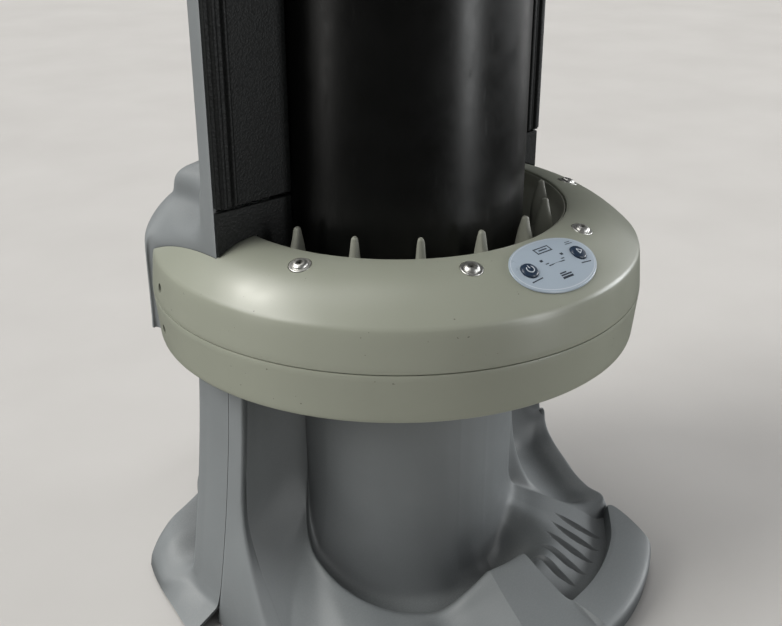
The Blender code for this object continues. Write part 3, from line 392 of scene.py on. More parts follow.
def bridge(ring_a, ring_b, wrap=True):
    """Faces between two rings of vertex numbers; a ring may be one repeated vertex."""
    faces = []
    count = len(ring_a)
    for k in range(count if wrap else count - 1):
        m = (k + 1) % count
        corners = tuple(dict.fromkeys((ring_a[k], ring_a[m], ring_b[m], ring_b[k])))
        if len(corners) > 2:
            faces.append(corners)
    return faces


def loft(sections, cap_turn=1, first=0):
    """Solid through equal-sized closed sections; vertex numbers start at first."""
    count = len(sections[0])
    rings = [range(first + k * count, first + (k + 1) * count) for k in range(len(sections))]
    faces = []
    for ring_a, ring_b in zip(rings, rings[1:]):
        faces += bridge(ring_a, ring_b)
    faces.append(tuple(rings[0][::cap_turn]))
    faces.append(tuple(rings[-1][::-cap_turn]))
    return [point for section in sections for point in section], faces


def catmull(points, t):
    """Centripetal Catmull-Rom through points (n x 3) at parameters t in [0, n-1]."""
    p = np.asarray(points, float)
    n = len(p)
    if n == 2:
        return p[0] + (p[1] - p[0]) * np.asarray(t)[:, None]
    ext = np.vstack([2 * p[0] - p[1], p, 2 * p[-1] - p[-2]])
    i = np.clip(np.floor(t).astype(int), 0, n - 2)
    f = np.asarray(t) - i
    p0, p1, p2, p3 = ext[i], ext[i + 1], ext[i + 2], ext[i + 3]
    # square roots of the point distances give the centripetal spacing
    d1 = np.sqrt(np.linalg.norm(p1 - p0, axis=1)) + 1e-4
    d2 = np.sqrt(np.linalg.norm(p2 - p1, axis=1)) + 1e-4
    d3 = np.sqrt(np.linalg.norm(p3 - p2, axis=1)) + 1e-4
    d1, d2, d3 = d1[:, None], d2[:, None], d3[:, None]
    # tangents at p1 and p2, then the Hermite form
    m1 = (p2 - p1 + d2 * ((p1 - p0) / d1 - (p2 - p0) / (d1 + d2)))
    m2 = (p2 - p1 + d2 * ((p3 - p2) / d3 - (p3 - p1) / (d2 + d3)))
    f = f[:, None]
    f2, f3 = f * f, f * f * f
    return ((2 * f3 - 3 * f2 + 1) * p1 + (f3 - 2 * f2 + f) * m1
            + (-2 * f3 + 3 * f2) * p2 + (f3 - f2) * m2)


def spline(points, counts, creases=()):
    """Smooth curve with counts[k] steps in span k and corners kept at the crease indices."""
    points = np.asarray(points, float)
    stops = sorted({0, len(points) - 1, *creases})
    out = []
    for a, b in zip(stops, stops[1:]):
        t = np.concatenate([k - a + np.arange(counts[k]) / counts[k] for k in range(a, b)])
        out.append(catmull(points[a:b + 1], t))
    out.append(points[-1:])
    return np.vstack(out)


def surface(stations, cols, rows, col_creases=(), row_creases=None):
    """Dense grid (rows x cols x 3) from stations; row_creases maps a station to its corners."""
    tall = np.array([spline(station, rows, (row_creases or {}).get(k, ()))
                     for k, station in enumerate(np.array(stations, float))])
    return np.stack([spline(tall[:, j], cols, col_creases) for j in range(tall.shape[1])])


def relax(grid, times, weight):
    """Laplacian smoothing inside the border; weight is one number or one per point."""
    weight = np.broadcast_to(weight, grid.shape[:2])[..., None]
    for _ in range(times):
        mean = grid.copy()
        mean[1:-1, 1:-1] = (grid[:-2, 1:-1] + grid[2:, 1:-1]
                            + grid[1:-1, :-2] + grid[1:-1, 2:]) / 4
        grid = grid + (mean - grid) * weight
    return grid


def outward_normals(grid, row, col, axis, sign):
    """Unit normals, turned so that the one at (row, col) points along sign * axis."""
    normals = np.cross(np.gradient(grid, axis=1), np.gradient(grid, axis=0))
    normals = normals / (np.linalg.norm(normals, axis=2, keepdims=True) + 1e-12)
    return -normals if normals[row, col, axis] * sign < 0 else normals


def shell_piece(name, grid, normals, wall, replaces):
    """Casing of a given wall thickness inside an outer grid."""
    n_rows, n_cols, _ = grid.shape
    inner = grid - normals * wall
    verts = np.vstack([grid.reshape(-1, 3), inner.reshape(-1, 3)]) * MM
    faces = []
    n = n_rows * n_cols           # offset of the inner copy
    for j in range(n_rows - 1):
        for i in range(n_cols - 1):
            a = j * n_cols + i
            b = a + n_cols
            faces.append((a, b, b + 1, a + 1))
            faces.append((n + a, n + a + 1, n + b + 1, n + b))
    for i in range(n_cols - 1):
        a, b = i, (n_rows - 1) * n_cols + i
        faces.append((a, a + 1, n + a + 1, n + a))
        faces.append((b + 1, b, n + b, n + b + 1))
    for j in range(n_rows - 1):
        a, b = j * n_cols, j * n_cols + n_cols - 1
        faces.append((a + n_cols, a, n + a, n + a + n_cols))
        faces.append((b, b + n_cols, n + b + n_cols, n + b))
    return add(name, verts, faces, "casing_grey", "chassis", replaces, 32.0)


def lathe(profile, steps=256, start=0.0, sweep=360.0, closed=True, matrix=None):
    """Turned shape from (r, z) points; closed profiles loop, open ones end on the axis."""
    full = sweep == 360.0
    count = steps if full else steps + 1
    verts, rings = [], []
    for r, z in profile:
        if r < 1e-7:
            rings.append([len(verts)] * count)
            verts.append((0.0, 0.0, z))
            continue
        rings.append(range(len(verts), len(verts) + count))
        verts += [(*polar(r, start + sweep * k / steps), z) for k in range(count)]
    faces = []
    for ring_a, ring_b in list(zip(rings, rings[1:])) + ([(rings[-1], rings[0])] if closed else []):
        faces += bridge(ring_a, ring_b, wrap=full)
    if not full:
        faces.append(tuple(ring[0] for ring in rings))
        faces.append(tuple(ring[-1] for ring in rings)[::-1])
    verts = [Vector(v) * MM for v in verts]
    if matrix is not None:
        verts = [matrix @ v for v in verts]
    return verts, faces


def rounded(outline, radius, steps=4, limit=0.45):
    """Closed outline of (x, y, factor) with each corner cut back by factor * radius to an arc.

    The cut takes at most the limit share of a neighbouring side; factor 0 keeps the corner.
    """
    out = []
    for i, (x, y, factor) in enumerate(outline):
        if factor <= 0:
            out.append((x, y))
            continue
        corner = np.array((x, y))
        back = np.array(outline[i - 1][:2]) - corner
        ahead = np.array(outline[(i + 1) % len(outline)][:2]) - corner
        back_len, ahead_len = np.linalg.norm(back), np.linalg.norm(ahead)
        cut = min(factor * radius, back_len * limit, ahead_len * limit)
        a, b = corner + back / back_len * cut, corner + ahead / ahead_len * cut
        for s in range(steps + 1):
            t = s / steps
            out.append(tuple((1 - t) ** 2 * a + 2 * t * (1 - t) * corner + t * t * b))
    return out


def frame_z(place, direction):
    """Matrix at a place (mm) with its Z axis along direction."""
    turn = Vector(direction).normalized().to_track_quat("Z", "Y").to_matrix().to_4x4()
    return Matrix.Translation(Vector(place) * MM) @ turn


def slab(name, plan, z0, z1, slot, replaces, edge, smooth=40.0):
    """Flat outline between two heights with its top edge rounded."""
    points = [Vector((x, y, 0)) for x, y in plan]
    bm = bmesh.new()
    face = bm.faces.new([bm.verts.new((p.x * MM, p.y * MM, z0 * MM)) for p in points])
    made = bmesh.ops.extrude_face_region(bm, geom=[face])
    top = [v for v in made["geom"] if isinstance(v, bmesh.types.BMVert)]
    bmesh.ops.translate(bm, vec=(0, 0, (z1 - z0) * MM), verts=top)
    bmesh.ops.recalc_face_normals(bm, faces=bm.faces[:])
    rim = [e for e in bm.edges if all(v in top for v in e.verts)]
    bmesh.ops.bevel(bm, geom=rim, offset=edge * MM, segments=3, affect="EDGES", profile=0.5)
    mesh = bpy.data.meshes.new(name)
    bm.to_mesh(mesh)
    bm.free()
    return finish_piece(name, mesh, slot, "chassis", replaces, smooth)


# ---------------------------------------------------------------- Boolean tools
def tool(verts, faces):
    obj = bpy.data.objects.new("tool", closed_mesh("tool", verts, faces, weld=False))
    bpy.context.scene.collection.objects.link(obj)
    return obj


def cut_away(obj, tools, smooth, operation="DIFFERENCE"):
    """Applies Booleans, removes their tools and marks sharp edges again."""
    for other in tools:
        mod = obj.modifiers.new("cut", "BOOLEAN")
        mod.operation = operation
        mod.object = other
        mod.solver = "EXACT"
    bpy.context.view_layer.update()
    graph = bpy.context.evaluated_depsgraph_get()
    mesh = bpy.data.meshes.new_from_object(obj.evaluated_get(graph))
    obj.modifiers.clear()
    obj.data = mesh
    for other in tools:
        bpy.data.objects.remove(other, do_unlink=True)
    obj.data.set_sharp_from_angle(angle=math.radians(smooth))


def cylinder_tool(r, z0, z1, matrix, sides=48):
    profile = [(0, z0), (r, z0), (r, z1), (0, z1)]
    return tool(*lathe(profile, sides, closed=False, matrix=matrix))


def box_tool(low, high):
    x0, y0, z0 = [v * MM for v in low]
    x1, y1, z1 = [v * MM for v in high]
    verts = [(x, y, z) for z in (z0, z1) for x, y in ((x0, y0), (x1, y0), (x1, y1), (x0, y1))]
    return tool(verts, [(0, 3, 2, 1), (4, 5, 6, 7), (0, 1, 5, 4), (1, 2, 6, 5),
                        (2, 3, 7, 6), (3, 0, 4, 7)])


def hex_tool(flat, z0, z1, matrix):
    """Hexagonal prism measured across its flats."""
    r = flat / math.sqrt(3)
    plan = [(r * math.cos(math.radians(60 * k)), r * math.sin(math.radians(60 * k)))
            for k in range(6)]
    verts = [matrix @ (Vector((x, y, z)) * MM) for z in (z0, z1) for x, y in plan]
    faces = [(5, 4, 3, 2, 1, 0), (6, 7, 8, 9, 10, 11)]
    faces += [(k, (k + 1) % 6, (k + 1) % 6 + 6, k + 6) for k in range(6)]
    return tool(verts, faces)


# ---------------------------------------------------------------- base, left pilaster
# heights of the 16 points down each station
PILASTER_Z = [BASE_TOP, 150, 118, 98, 84, 73, 64, 56, 49, 43, 37, 30, 22, 15, 9, FOOT_H]
RECESS_Z = [BASE_TOP, 165, 142, 124, 110, 99, 90, 82, 75, 68, 61, 46, 31, 18, 9, FOOT_H]


def panel_edge(z):
    """Outer edge of the left panel, where it meets the pilaster."""
    b = bell(z)
    return (-(side_x(z) - 8.5 - 4 * b), -6.5 - 84 * b)


def panel_point(s, z):
    """Plan point of the left panel: s=0 at the pilaster, s=1 next to the column."""
    middle = 0.42
    b = bell(z)
    p0 = panel_edge(z)
    p1 = (-(117.0 + 45 * b), -1.0 - 97 * b)
    p2 = (-(92.0 + 71 * b), -2.5 - 104 * b)
    # quadratic through p0, p1 and p2 at s = 0, middle and 1
    w0 = (s - middle) * (s - 1) / middle
    w1 = s * (s - 1) / (middle * (middle - 1))
    w2 = s * (s - middle) / 0.58
    return (p0[0] * w0 + p1[0] * w1 + p2[0] * w2, p0[1] * w0 + p1[1] * w1 + p2[1] * w2)


def tucked_point(z):
    """Point just behind the panel, to hide the pilaster's inner edge."""
    x, y = panel_point(0.14, z)
    return (x, y + 3.0, z)


pilaster = surface([
    [(-side_x(z), SPLIT_Y - GAP, z) for z in PILASTER_Z],
    [(-side_x(z), -4.0 - 34 * bell(z), z) for z in PILASTER_Z],
    [(0.6 - side_x(z), -11.0 - 66 * bell(z), z) for z in PILASTER_Z],
    [(*panel_edge(z), z) for z in RECESS_Z],
    [tucked_point(z) for z in RECESS_Z],
], [8, 12, 12, 6], [8] * 15)
shell_piece("base_pilaster_skin", pilaster, outward_normals(pilaster, 20, 2, axis=0, sign=-1),
            2.0, "base_front_shell")

# ---------------------------------------------------------------- base, front: stations
# The front is swept through upright stations of 16 points each, from the left round to the
# right: panel and bowl, nose, tray, flank, flat side.
BOWL_END_R = 191.0        # usual radius of the outline in front of the bowl

# Bowl stations that start on the panel.
# (angle at the column, angle at the outline, rim radius, rim height, floor height),
# then a height on the pilaster or a plan point on the floor outline
FAN = [
    ((-88.7, -58.3, 87.05, 190, 189.6), 196.0),
    ((-88.6, -58.3, 87.05, 168, 167.6), 172.0),
    ((-88.5, -58.2, 87.1, 143, 142.6), 146.0),
    ((-88.2, -58.0, 87.2, 119, 118.5), 118.0),
    ((-87.3, -57.5, 88.4, 96, 94.8), 84.0),
    ((-85.2, -56.7, 94.0, 76.5, 74), 50.0),
    ((-80.8, -54.8, 104.5, 62, 57), 24.0),
    ((-77.4, -53.0, 111.0, 54.5, 47.5), 3.0),
    ((-75.0, -51.6, 114.5, 50.5, 42.5), (-156.5, -104.0)),
]
# the same five columns, then the outline radius where it isn't BOWL_END_R
BOWL = [
    (-66.0, -47.0, 122.5, 40, 29),
    (-56.0, -42.0, 126.0, 31, 19),
    (-45.0, -36.5, 126.0, 23.5, 13),
    (-35.0, -31.5, 126.0, 20, 11.5),
    (-28.0, -26.5, 126.5, 20.5, 11.5, 192),
    (-19.5, -19.0, 126.5, 32.5, 11.5, 194),
]
# (r, z) down the nose and down the tray
NOSE_PROFILE = [
    (COLUMN_R, BASE_TOP), (COLUMN_R, 150), (COLUMN_R, 90), (87.2, 55), (88.5, 34), (92, 21),
    (99, 13.5), (110, 11.5), (119.5, 12.5), (122.5, 42.5), (126, 44.8), (143, 36.5),
    (165, 26.5), (188, 19.5), (BASE_RIM_R, 16), (BASE_RIM_R, FOOT_H),
]
TRAY_PROFILE = [
    (COLUMN_R, BASE_TOP), (COLUMN_R, 150), (COLUMN_R, 100), (COLUMN_R, 74), (87.7, 58),
    (91.0, 49.5), (99.5, 44.5), (114, 39.5), (130, 32.5), (146, 24.5), (158, 17.5),
    (164.8, 15.5), (167.8, 25.4), (172, 25), (BASE_RIM_R, 17.5), (BASE_RIM_R, FOOT_H),
]
# the hollow behind the nose, which the inner tray points fall into beside it
HOLLOW_PROFILE = NOSE_PROFILE[:7] + [(110, 13.0)]
# point under the collar, crest of the flank, foot on the floor, depth of the trough
FLANK = [
    (polar(COLUMN_R, 52), (129.5, -103, 27.8), (131, -112), 5.0),
    (polar(COLUMN_R, 59), (131.0, -86, 28.7), (138, -94), 4.0),
    (polar(COLUMN_R, 67), (137.5, -66, 29.8), (148, -73), 4.0),
    (polar(COLUMN_R, 76), (146.0, -49, 31.3), (158, -52), 4.0),
    (polar(COLUMN_R, 84), (152.5, -35, 33.5), (163.5, -34), 3.5),
    ((96.0, -3.2), (156.0, -26, 37.0), (166.4, -22), 3.0),
    ((112.0, -2.4), (157.6, -19.5, 42.5), (166.9, -17), 2.0),
    ((126.0, -3.5), (158.4, -15.5, 49.5), (167.0, -14), 1.0),
    ((135.2, -6.5), (158.4, -12.5, 60.0), (167.0, -12), 0.5),
]
# (share of the way out to the crest, share of the height above the trough)
FLUTE = [(0, 1), (0, 0.73), (0.02, 0.50), (0.06, 0.34), (0.13, 0.22), (0.23, 0.13),
         (0.36, 0.065), (0.52, 0.02), (0.70, 0.0)]
# heights down the flat side at the right
EDGE_Z = [BASE_TOP, 159, 128, 106, 90, 78, 70, 65, 62, 60.5, 59, 52, 38, 22, 10, FOOT_H]


def bowl_inside(top_angle, end_angle, rim_r, rim_z, floor_z, end_r=BOWL_END_R):
    """Column, fillet, bowl floor and raised rim: 11 points from the top."""
    fillet_top = min(floor_z + 58, 192.0)
    upper_z = 150.0 if fillet_top < 145 else (BASE_TOP + fillet_top) / 2
    profile = [(COLUMN_R, BASE_TOP), (COLUMN_R, upper_z)]
    fillet = min(17.0, (rim_r - COLUMN_R) * 0.6)
    for k in range(6):
        turn = math.radians(k * 18)
        profile.append((COLUMN_R + fillet * (1 - math.cos(turn)),
                        floor_z + (fillet_top - floor_z) * (1 - math.sin(turn))))
    rest = rim_r - COLUMN_R - fillet
    profile.append((COLUMN_R + fillet + rest * 0.42, floor_z + 0.2 * min(rim_z - floor_z, 2.0)))
    profile.append((rim_r - rest * 0.24, rim_z - 0.2 * (rim_z - floor_z)))
    profile.append((rim_r, rim_z))
    out = []
    for r, z in profile:
        share = ease((r - COLUMN_R) / (end_r - COLUMN_R))
        out.append((*polar(r, top_angle + (end_angle - top_angle) * share), z))
    return out


def bowl_station(top_angle, end_angle, rim_r, rim_z, floor_z, end_r=BOWL_END_R):
    """Bowl inside, then the apron outside the rim; high rims drop more steeply."""
    out = bowl_inside(top_angle, end_angle, rim_r, rim_z, floor_z, end_r)
    rim, end = out[-1], polar(end_r, end_angle)
    steep = ease((rim_z - 30) / 35)
    for reach, height in ((0.15, 0.66), (0.38, 0.38), (0.68, 0.19)):
        z_low, z_high = 15.5 + (rim_z - 15.5) * (1 - reach / 0.93), rim_z * height
        z = z_low + (z_high - z_low) * steep
        flare = max(bell(z) - bell(rim_z), 0.0) / (bell(FOOT_H) - bell(rim_z))
        out.append((*along(rim, end, reach + (flare - reach) * steep), z))
    out.append((*along(rim, end, 0.97 + (0.80 - 0.97) * steep), 12.0))
    out.append((*end, FOOT_H))
    return out


def fan_station(row, target):
    """Bowl inside, then across the panel to a pilaster height or a floor outline point."""
    out = bowl_inside(*row)
    crest_x, crest_y, crest_z = out[-1]
    panel_x, panel_y = panel_point(1.0, crest_z)
    for t in (0.08, 0.27, 0.52, 0.80, 1.0):
        if isinstance(target, tuple):
            b = bell(crest_z) + (bell(FOOT_H) - bell(crest_z)) * t
            x, y = along((crest_x, crest_y), target, t)
            out.append((x, y, BELL_TOP * (1 - math.sqrt(b))))
        else:
            z = crest_z + (target - crest_z) * t
            x, y = panel_point(1 - t, z)
            fade = (1 - t) ** 2
            out.append((x + (crest_x - panel_x) * fade, y + (crest_y - panel_y) * fade, z))
    return out


def nose_station(angle):
    return [(*polar(r, angle), z) for r, z in NOSE_PROFILE]


def tray_profile(angle):
    """Column, tight fillet, tray floor, steep wall inside the lip, lip."""
    profile = list(TRAY_PROFILE)
    share = 1 - ease((angle - 5.0) / 24.0)
    for j, hollow_point in enumerate(HOLLOW_PROFILE):
        profile[j] = along(profile[j], hollow_point, share)
    return profile


def tray_station(angle):
    return [(*polar(r, angle), z) for r, z in tray_profile(angle)]


def lip_end_station():
    """Last tray section: the lip is cut off along a slanting line."""
    out = []
    for r, z in TRAY_PROFILE:
        if r < 160:
            angle = 46.0
        elif r <= 170:
            angle = 46.0 + (r - 160) / 10 * 3.4
        else:
            angle = 49.4 - (r - 170) / 27 * 11.6
        out.append((*polar(r, angle), z))
    return out


def flank_station(top, crest, foot, dip):
    """From under the collar down into the trough, up to the crest, down the outside."""
    crest_z = crest[2]
    low = crest_z - dip
    out = [(*along(top, crest, q), low + (BASE_TOP - low) * height) for q, height in FLUTE]
    out.append((*along(top, crest, 0.87), crest_z - dip * 0.35))
    out.append((*along(top, crest, 1.0), crest_z))
    for q, z in ((0.12, crest_z - 1.5), (0.45, crest_z * 0.72), (0.75, crest_z * 0.42),
                 (1.0, 9.0 if crest_z < 60 else 10.0), (1.0, FOOT_H)):
        out.append((*along(crest, foot, q), z))
    return out


stations = [fan_station(*row) for row in FAN] + [bowl_station(*row) for row in BOWL]
# the left face of the nose falls off as one plane
for k, heights in ((-2, (16.5, 12.5, 8.5, 6.0)), (-1, (26.5, 18.5, 12.5, 8.0))):
    for j, z in enumerate(heights, start=11):
        stations[k][j] = (*stations[k][j][:2], z)
NOSE = len(stations)      # first station of the nose, the tray and the flank
stations += [nose_station(angle) for angle in (-11.0, -4.0, 0.0, 4.2)]
TRAY = len(stations)
stations += [tray_station(angle) for angle in (5.2, 12.9, 20.6, 28.3, 36.0)]
stations.append(lip_end_station())
FLANK_START = len(stations)
stations += [flank_station(*row) for row in FLANK]
for inset, y in ((0.6, -11.0), (0.0, -4.0), (0.0, SPLIT_Y - GAP)):
    stations.append([(side_x(z) - inset, y, z) for z in EDGE_Z])

# ---------------------------------------------------------------- base, front: surface
cols = [14] * NOSE + [12] * (TRAY - NOSE) + [44] * (FLANK_START - 1 - TRAY) + [30]
cols += [12] * (len(stations) - 1 - FLANK_START)
rows = [10, 12, 9, 9, 9, 9, 9, 8, 12, 8, 8, 10, 10, 10, 10]
col_at = np.concatenate([[0], np.cumsum(cols)])   # grid column of each station
row_at = np.concatenate([[0], np.cumsum(rows)])   # grid row of each station point
corners = {k: (10,) for k in range(5)}
corners.update({k: (8, 9) for k in range(NOSE, TRAY)})
corners.update({k: (11, 12) for k in range(TRAY, FLANK_START)})
front = surface(stations, cols, rows, (NOSE, TRAY - 1, TRAY, FLANK_START - 1), corners)

weight = np.full(front.shape[:2], 0.5)
weight[:, col_at[NOSE] - 3:col_at[FLANK_START - 1] + 3] *= 0.12   # nose and tray stay crisp
# the crease between the column and the panel stays a clean line
weight[:row_at[10] + 1, :col_at[4] + 4] = 0
for k in (NOSE, TRAY - 1, TRAY):
    weight[:, col_at[k] - 1:col_at[k] + 2] = 0
front = relax(front, 3, weight)

# the roll where the panel turns into the bowl is blended more
col_no = np.arange(front.shape[1])
row_no = np.arange(front.shape[0])
ramp = np.clip(np.minimum(col_no - col_at[3], col_at[12] - col_no) / 24.0, 0, 1)
band = np.clip((row_no - row_at[2]) / 12.0, 0, 1)
band = band * np.clip((row_at[15] - 1 - row_no) / 10.0, 0, 1)
soft = ramp[None, :] * band[:, None] * 0.5
soft[:row_at[10] + 2, :col_at[4]] = 0
front = relax(front, 14, soft)


def front_normals():
    return outward_normals(front, row_at[13], col_at[2], axis=1, sign=-1)


# five crescent finger grooves in the tray floor
GROOVE_ANGLE, GROOVE_STEP = 11.6, 5.95
GROOVE_R, GROOVE_LENGTH = 121, 37.0
GROOVE_HALF, GROOVE_DEPTH = 3.4, 4.2
normals = front_normals()
plan_r = np.hypot(front[..., 0], front[..., 1])
plan_angle = np.degrees(np.arctan2(front[..., 0], -front[..., 1]))
for k in range(5):
    angle = GROOVE_ANGLE + GROOVE_STEP * k
    t = (plan_r - (GROOVE_R + 0.8 * k)) / GROOVE_LENGTH
    inside = (t > 0) & (t < 1) & (front[..., 2] < 60)
    lens = np.where(inside, np.sin(np.pi * np.clip(t, 0, 1)) ** 0.8, 0)
    # distance across the bowed groove, whose left flank is the steeper one
    across = (plan_angle - angle - 7.5 * (t - 0.5) ** 2) * np.radians(1) * plan_r
    half = GROOVE_HALF * lens + 1e-6
    skewed = np.where(across < 0, across * 1.9, across * 0.62)
    dip = np.clip(1 - (skewed / half) ** 2, 0, 1) ** 0.7 * lens
    near = np.abs(plan_angle - angle) < 5
    front -= normals * (GROOVE_DEPTH * dip)[..., None] * near[..., None]
shell_piece("base_front_skin", front, front_normals(), 2.2, "base_front_shell")

# ---------------------------------------------------------------- base, rear
REAR_TOP_Z = [BASE_TOP, 150, 100, 60]     # heights of the upright part of each station
# below it: (height, share of the way out to the foot)
TOE = [(44, 0), (36, 0), (30, 0.0), (21, 0.02), (14.5, 0.09), (11.5, 0.28), (FOOT_H, 1.0)]
SKIRT = [(44, 0), (36, 0), (30, 0.0), (22, 0.03), (16, 0.11), (13, 0.30), (FOOT_H, 1.0)]
HEEL = [(44, 0), (36, 0), (30, 0.01), (23, 0.05), (18.5, 0.18), (15.5, 0.36), (FOOT_H, 1.0)]
RIDGE = [(44, 0), (34, 0.02), (30, 0.12), (28.5, 0.70), (20, 0.88), (12, 0.97), (FOOT_H, 1.0)]
HALF = [(44, 0), (34, 0.02), (27, 0.14), (22.5, 0.68), (16, 0.86), (10, 0.96), (FOOT_H, 1.0)]
TAIL = [(44, 0.02), (36, 0.09), (30, 0.26), (26, 0.60), (20.5, 0.86), (13, 1.0), (FOOT_H, 1.0)]
# flat side: depth y, lower rows, foot
REAR_SIDE = [
    (SPLIT_Y + GAP, TOE, (187.4, SPLIT_Y + GAP)),
    (9.0, TOE, (187.0, 9.6)),
    (15.5, TOE, (186.2, 17)),
    (28.0, SKIRT, (183.4, 31)),
    (39.0, HEEL, (181.2, 43)),
]
# rear wall: plan point at the top, lower rows, foot
REAR_WALL = [
    ((125.0, 46), HALF, (178.0, 60)),
    ((114.0, 72), RIDGE, (173.5, 77)),
    ((105.0, 90), RIDGE, (168.5, 91.2)),
    ((98.0, 99), RIDGE, (157.0, 101.5)),
    ((90.0, 107), RIDGE, (139.0, 108.5)),
    ((81.0, 117), RIDGE, (119.0, 116)),
    ((70.0, 131), TAIL, (101.0, 130)),
    ((56.0, 145), TAIL, (84.0, 156)),
    ((30.0, 150), TAIL, (50.0, 187)),
    ((0, 151), TAIL, (0, BASE_RIM_R)),
]


def rear_station(top_at, lower, foot):
    """Upright wall that turns out to the foot; top_at gives its plan point at a height."""
    return [(*along(top_at(z), foot, share), z)
            for z, share in [(z, 0.0) for z in REAR_TOP_Z] + lower]


def mirrored(half):
    """Stations from the right to the middle, continued to the left."""
    return half + [[(-x, y, z) for x, y, z in station] for station in half[-2::-1]]


half = []
for y, lower, foot in REAR_SIDE:
    inset = 0.5 if y > 35 else 0.0
    half.append(rear_station(lambda z: (side_x(z) - inset, y), lower, foot))
for top, lower, foot in REAR_WALL:
    half.append(rear_station(lambda z: top, lower, foot))
stations = mirrored(half)
rear = surface(stations, [10] * (len(stations) - 1), [8, 8, 8, 8, 8, 10, 12, 12, 12, 12],
               col_creases=(7, len(stations) - 8))
rear = relax(rear, 2, 0.5)
rear_piece = shell_piece(
    "base_rear_skin", rear, outward_normals(rear, 2, rear.shape[1] // 2, axis=1, sign=1),
    2.2, "base_rear_cover")
# a rectangular opening under six slots that fill a circle
SLOT_CIRCLE_Z, SLOT_CIRCLE_R = 158, 28.0
tools = [box_tool((-42, 120, 68), (42, 195, 112))]
for k in range(6):
    z = 137 + 8.4 * k
    half_width = math.sqrt(SLOT_CIRCLE_R ** 2 - (z - SLOT_CIRCLE_Z) ** 2)
    tools.append(box_tool((-half_width, 120, z - 1.7), (half_width, 175, z + 1.7)))
cut_away(rear_piece, tools, 32)

# ---------------------------------------------------------------- tower
# height; x, y of three points round the side; radii of the back at BACK_ANGLES
TOWER_LEVELS = [
    (197.2, TOWER_HALF, 50, TOWER_HALF, 86.2, 149.2, 86.8, 172.4, 172.4, 172.4, 172.4, 172.4),
    (230.0, TOWER_HALF, 50, TOWER_HALF, 86.2, 149.2, 86.8, 172.4, 172.4, 172.4, 172.4, 172.4),
    (257.0, TOWER_HALF, 50, TOWER_HALF, 86.2, 149.2, 86.8, 172.4, 172.4, 172.4, 172.4, 172.4),
    (264.0, TOWER_HALF, 50, 145.6, 84.5, 147.5, 88.0, 171.5, 171.0, 167.0, 158.0, 156.0),
    (270.0, 146.4, 50, 142.0, 82.0, 142.8, 90.0, 168.5, 167.0, 158.0, 149.0, 146.0),
    (276.5, 144.0, 49, 137.0, 80.0, 137.0, 90.0, 163.0, 159.0, 144.0, 138.0, 136.0),
    (283.0, 137.0, 47, 131.0, 78.0, 131.0, 89.5, 156.0, 148.0, 136.0, 130.0, 128.5),
    (287.0, 130.0, 46, 126.5, 77.0, 126.0, 88.0, 151.0, 138.0, 129.0, 126.5, 126.0),
    (291.5, 126.5, 45, 124.0, 76.0, 124.5, 86.5, 147.0, 130.0, 126.0, 125.0, 125.0),
    (301.0, 125.0, 45, 124.0, 75.0, 124.0, 85.0, 140.0, 126.0, 125.0, 125.0, 125.0),
    (307.0, 122.0, 44, 121.0, 73.0, 120.5, 82.0, 129.0, 125.0, 125.0, 125.0, 125.0),
    (310.5, 116.5, 43, 115.0, 70.0, 112.5, 77.0, 125.0, 125.0, 125.0, 125.0, 125.0),
    (312.5, 109.0, 42, 105.5, 67.0, 101.0, 74.0, 125.0, 125.0, 125.0, 125.0, 125.0),
    (314.5, 104.0, 40, 99.0, 64.0, 95.0, 74.0, 125.0, 125.0, 125.0, 125.0, 125.0),
    (TOWER_TOP, 104.0, 40, 99.0, 64.0, 95.0, 74.0, 125.0, 125.0, 125.0, 125.0, 125.0),
]
BACK_ANGLES = (46.0, 35.0, 23.0, 11.5, 0.0)   # degrees from the back (+Y)


def tower_level(z, *row):
    """Right half of the tower's outline at one height, from the front to the back."""
    plan = [(TOWER_HALF, TOWER_FRONT), (TOWER_HALF, 22.0), row[0:2], row[2:4], row[4:6]]
    for angle, radius in zip(BACK_ANGLES, row[6:]):
        turn = math.radians(angle)
        plan.append((radius * math.sin(turn), radius * math.cos(turn)))
    return [(x, y, z) for x, y in plan]


# stations run from the top down
levels = [tower_level(*row) for row in reversed(TOWER_LEVELS)]
stations = mirrored([list(station) for station in zip(*levels)])
half_cols = [6, 8, 10, 6, 12, 14, 14, 14, 14]
tower = surface(stations, half_cols + half_cols[::-1],
                [40, 5, 5, 6, 7, 7, 7, 7, 8, 8, 8, 8, 8, 8],
                col_creases=(1, len(stations) - 2))
tower = relax(tower, 14, 0.5)
shell_piece("tower_skin", tower,
            outward_normals(tower, 2, tower.shape[1] // 2, axis=1, sign=1),
            2.0, "rear_tower_cover")

# cap: the tower's top outline, closed by an arc round the back of the drum
cap_plan = [(point[0], point[1]) for point in tower[0][::2]]
cap_plan += [polar(DRUM_R + 1.2, -92 - 176 * k / 60) for k in range(61)]
slab("tower_cap_skin", cap_plan, TOWER_TOP + GAP, TOWER_TOP + 4.0, "casing_grey",
     "tower_top_cap", edge=1.2)

# ---------------------------------------------------------------- wing panels
PANEL_FRONT_Y, PANEL_BACK_Y = 0.9, 2.3    # faces of the lower panels
# plan of the right upper panel, with two ribs on its front
UPPER_PANEL = [
    (146.4, PANEL_BACK_Y), (146.4, -0.6), (143.4, -0.9), (142.2, -3.2), (139.8, -3.2),
    (138.6, -0.9), (135.6, -0.9), (134.4, -3.0), (132.4, -3.0), (131.2, -0.6), (90.0, -0.6),
    (88.9, PANEL_BACK_Y),
]


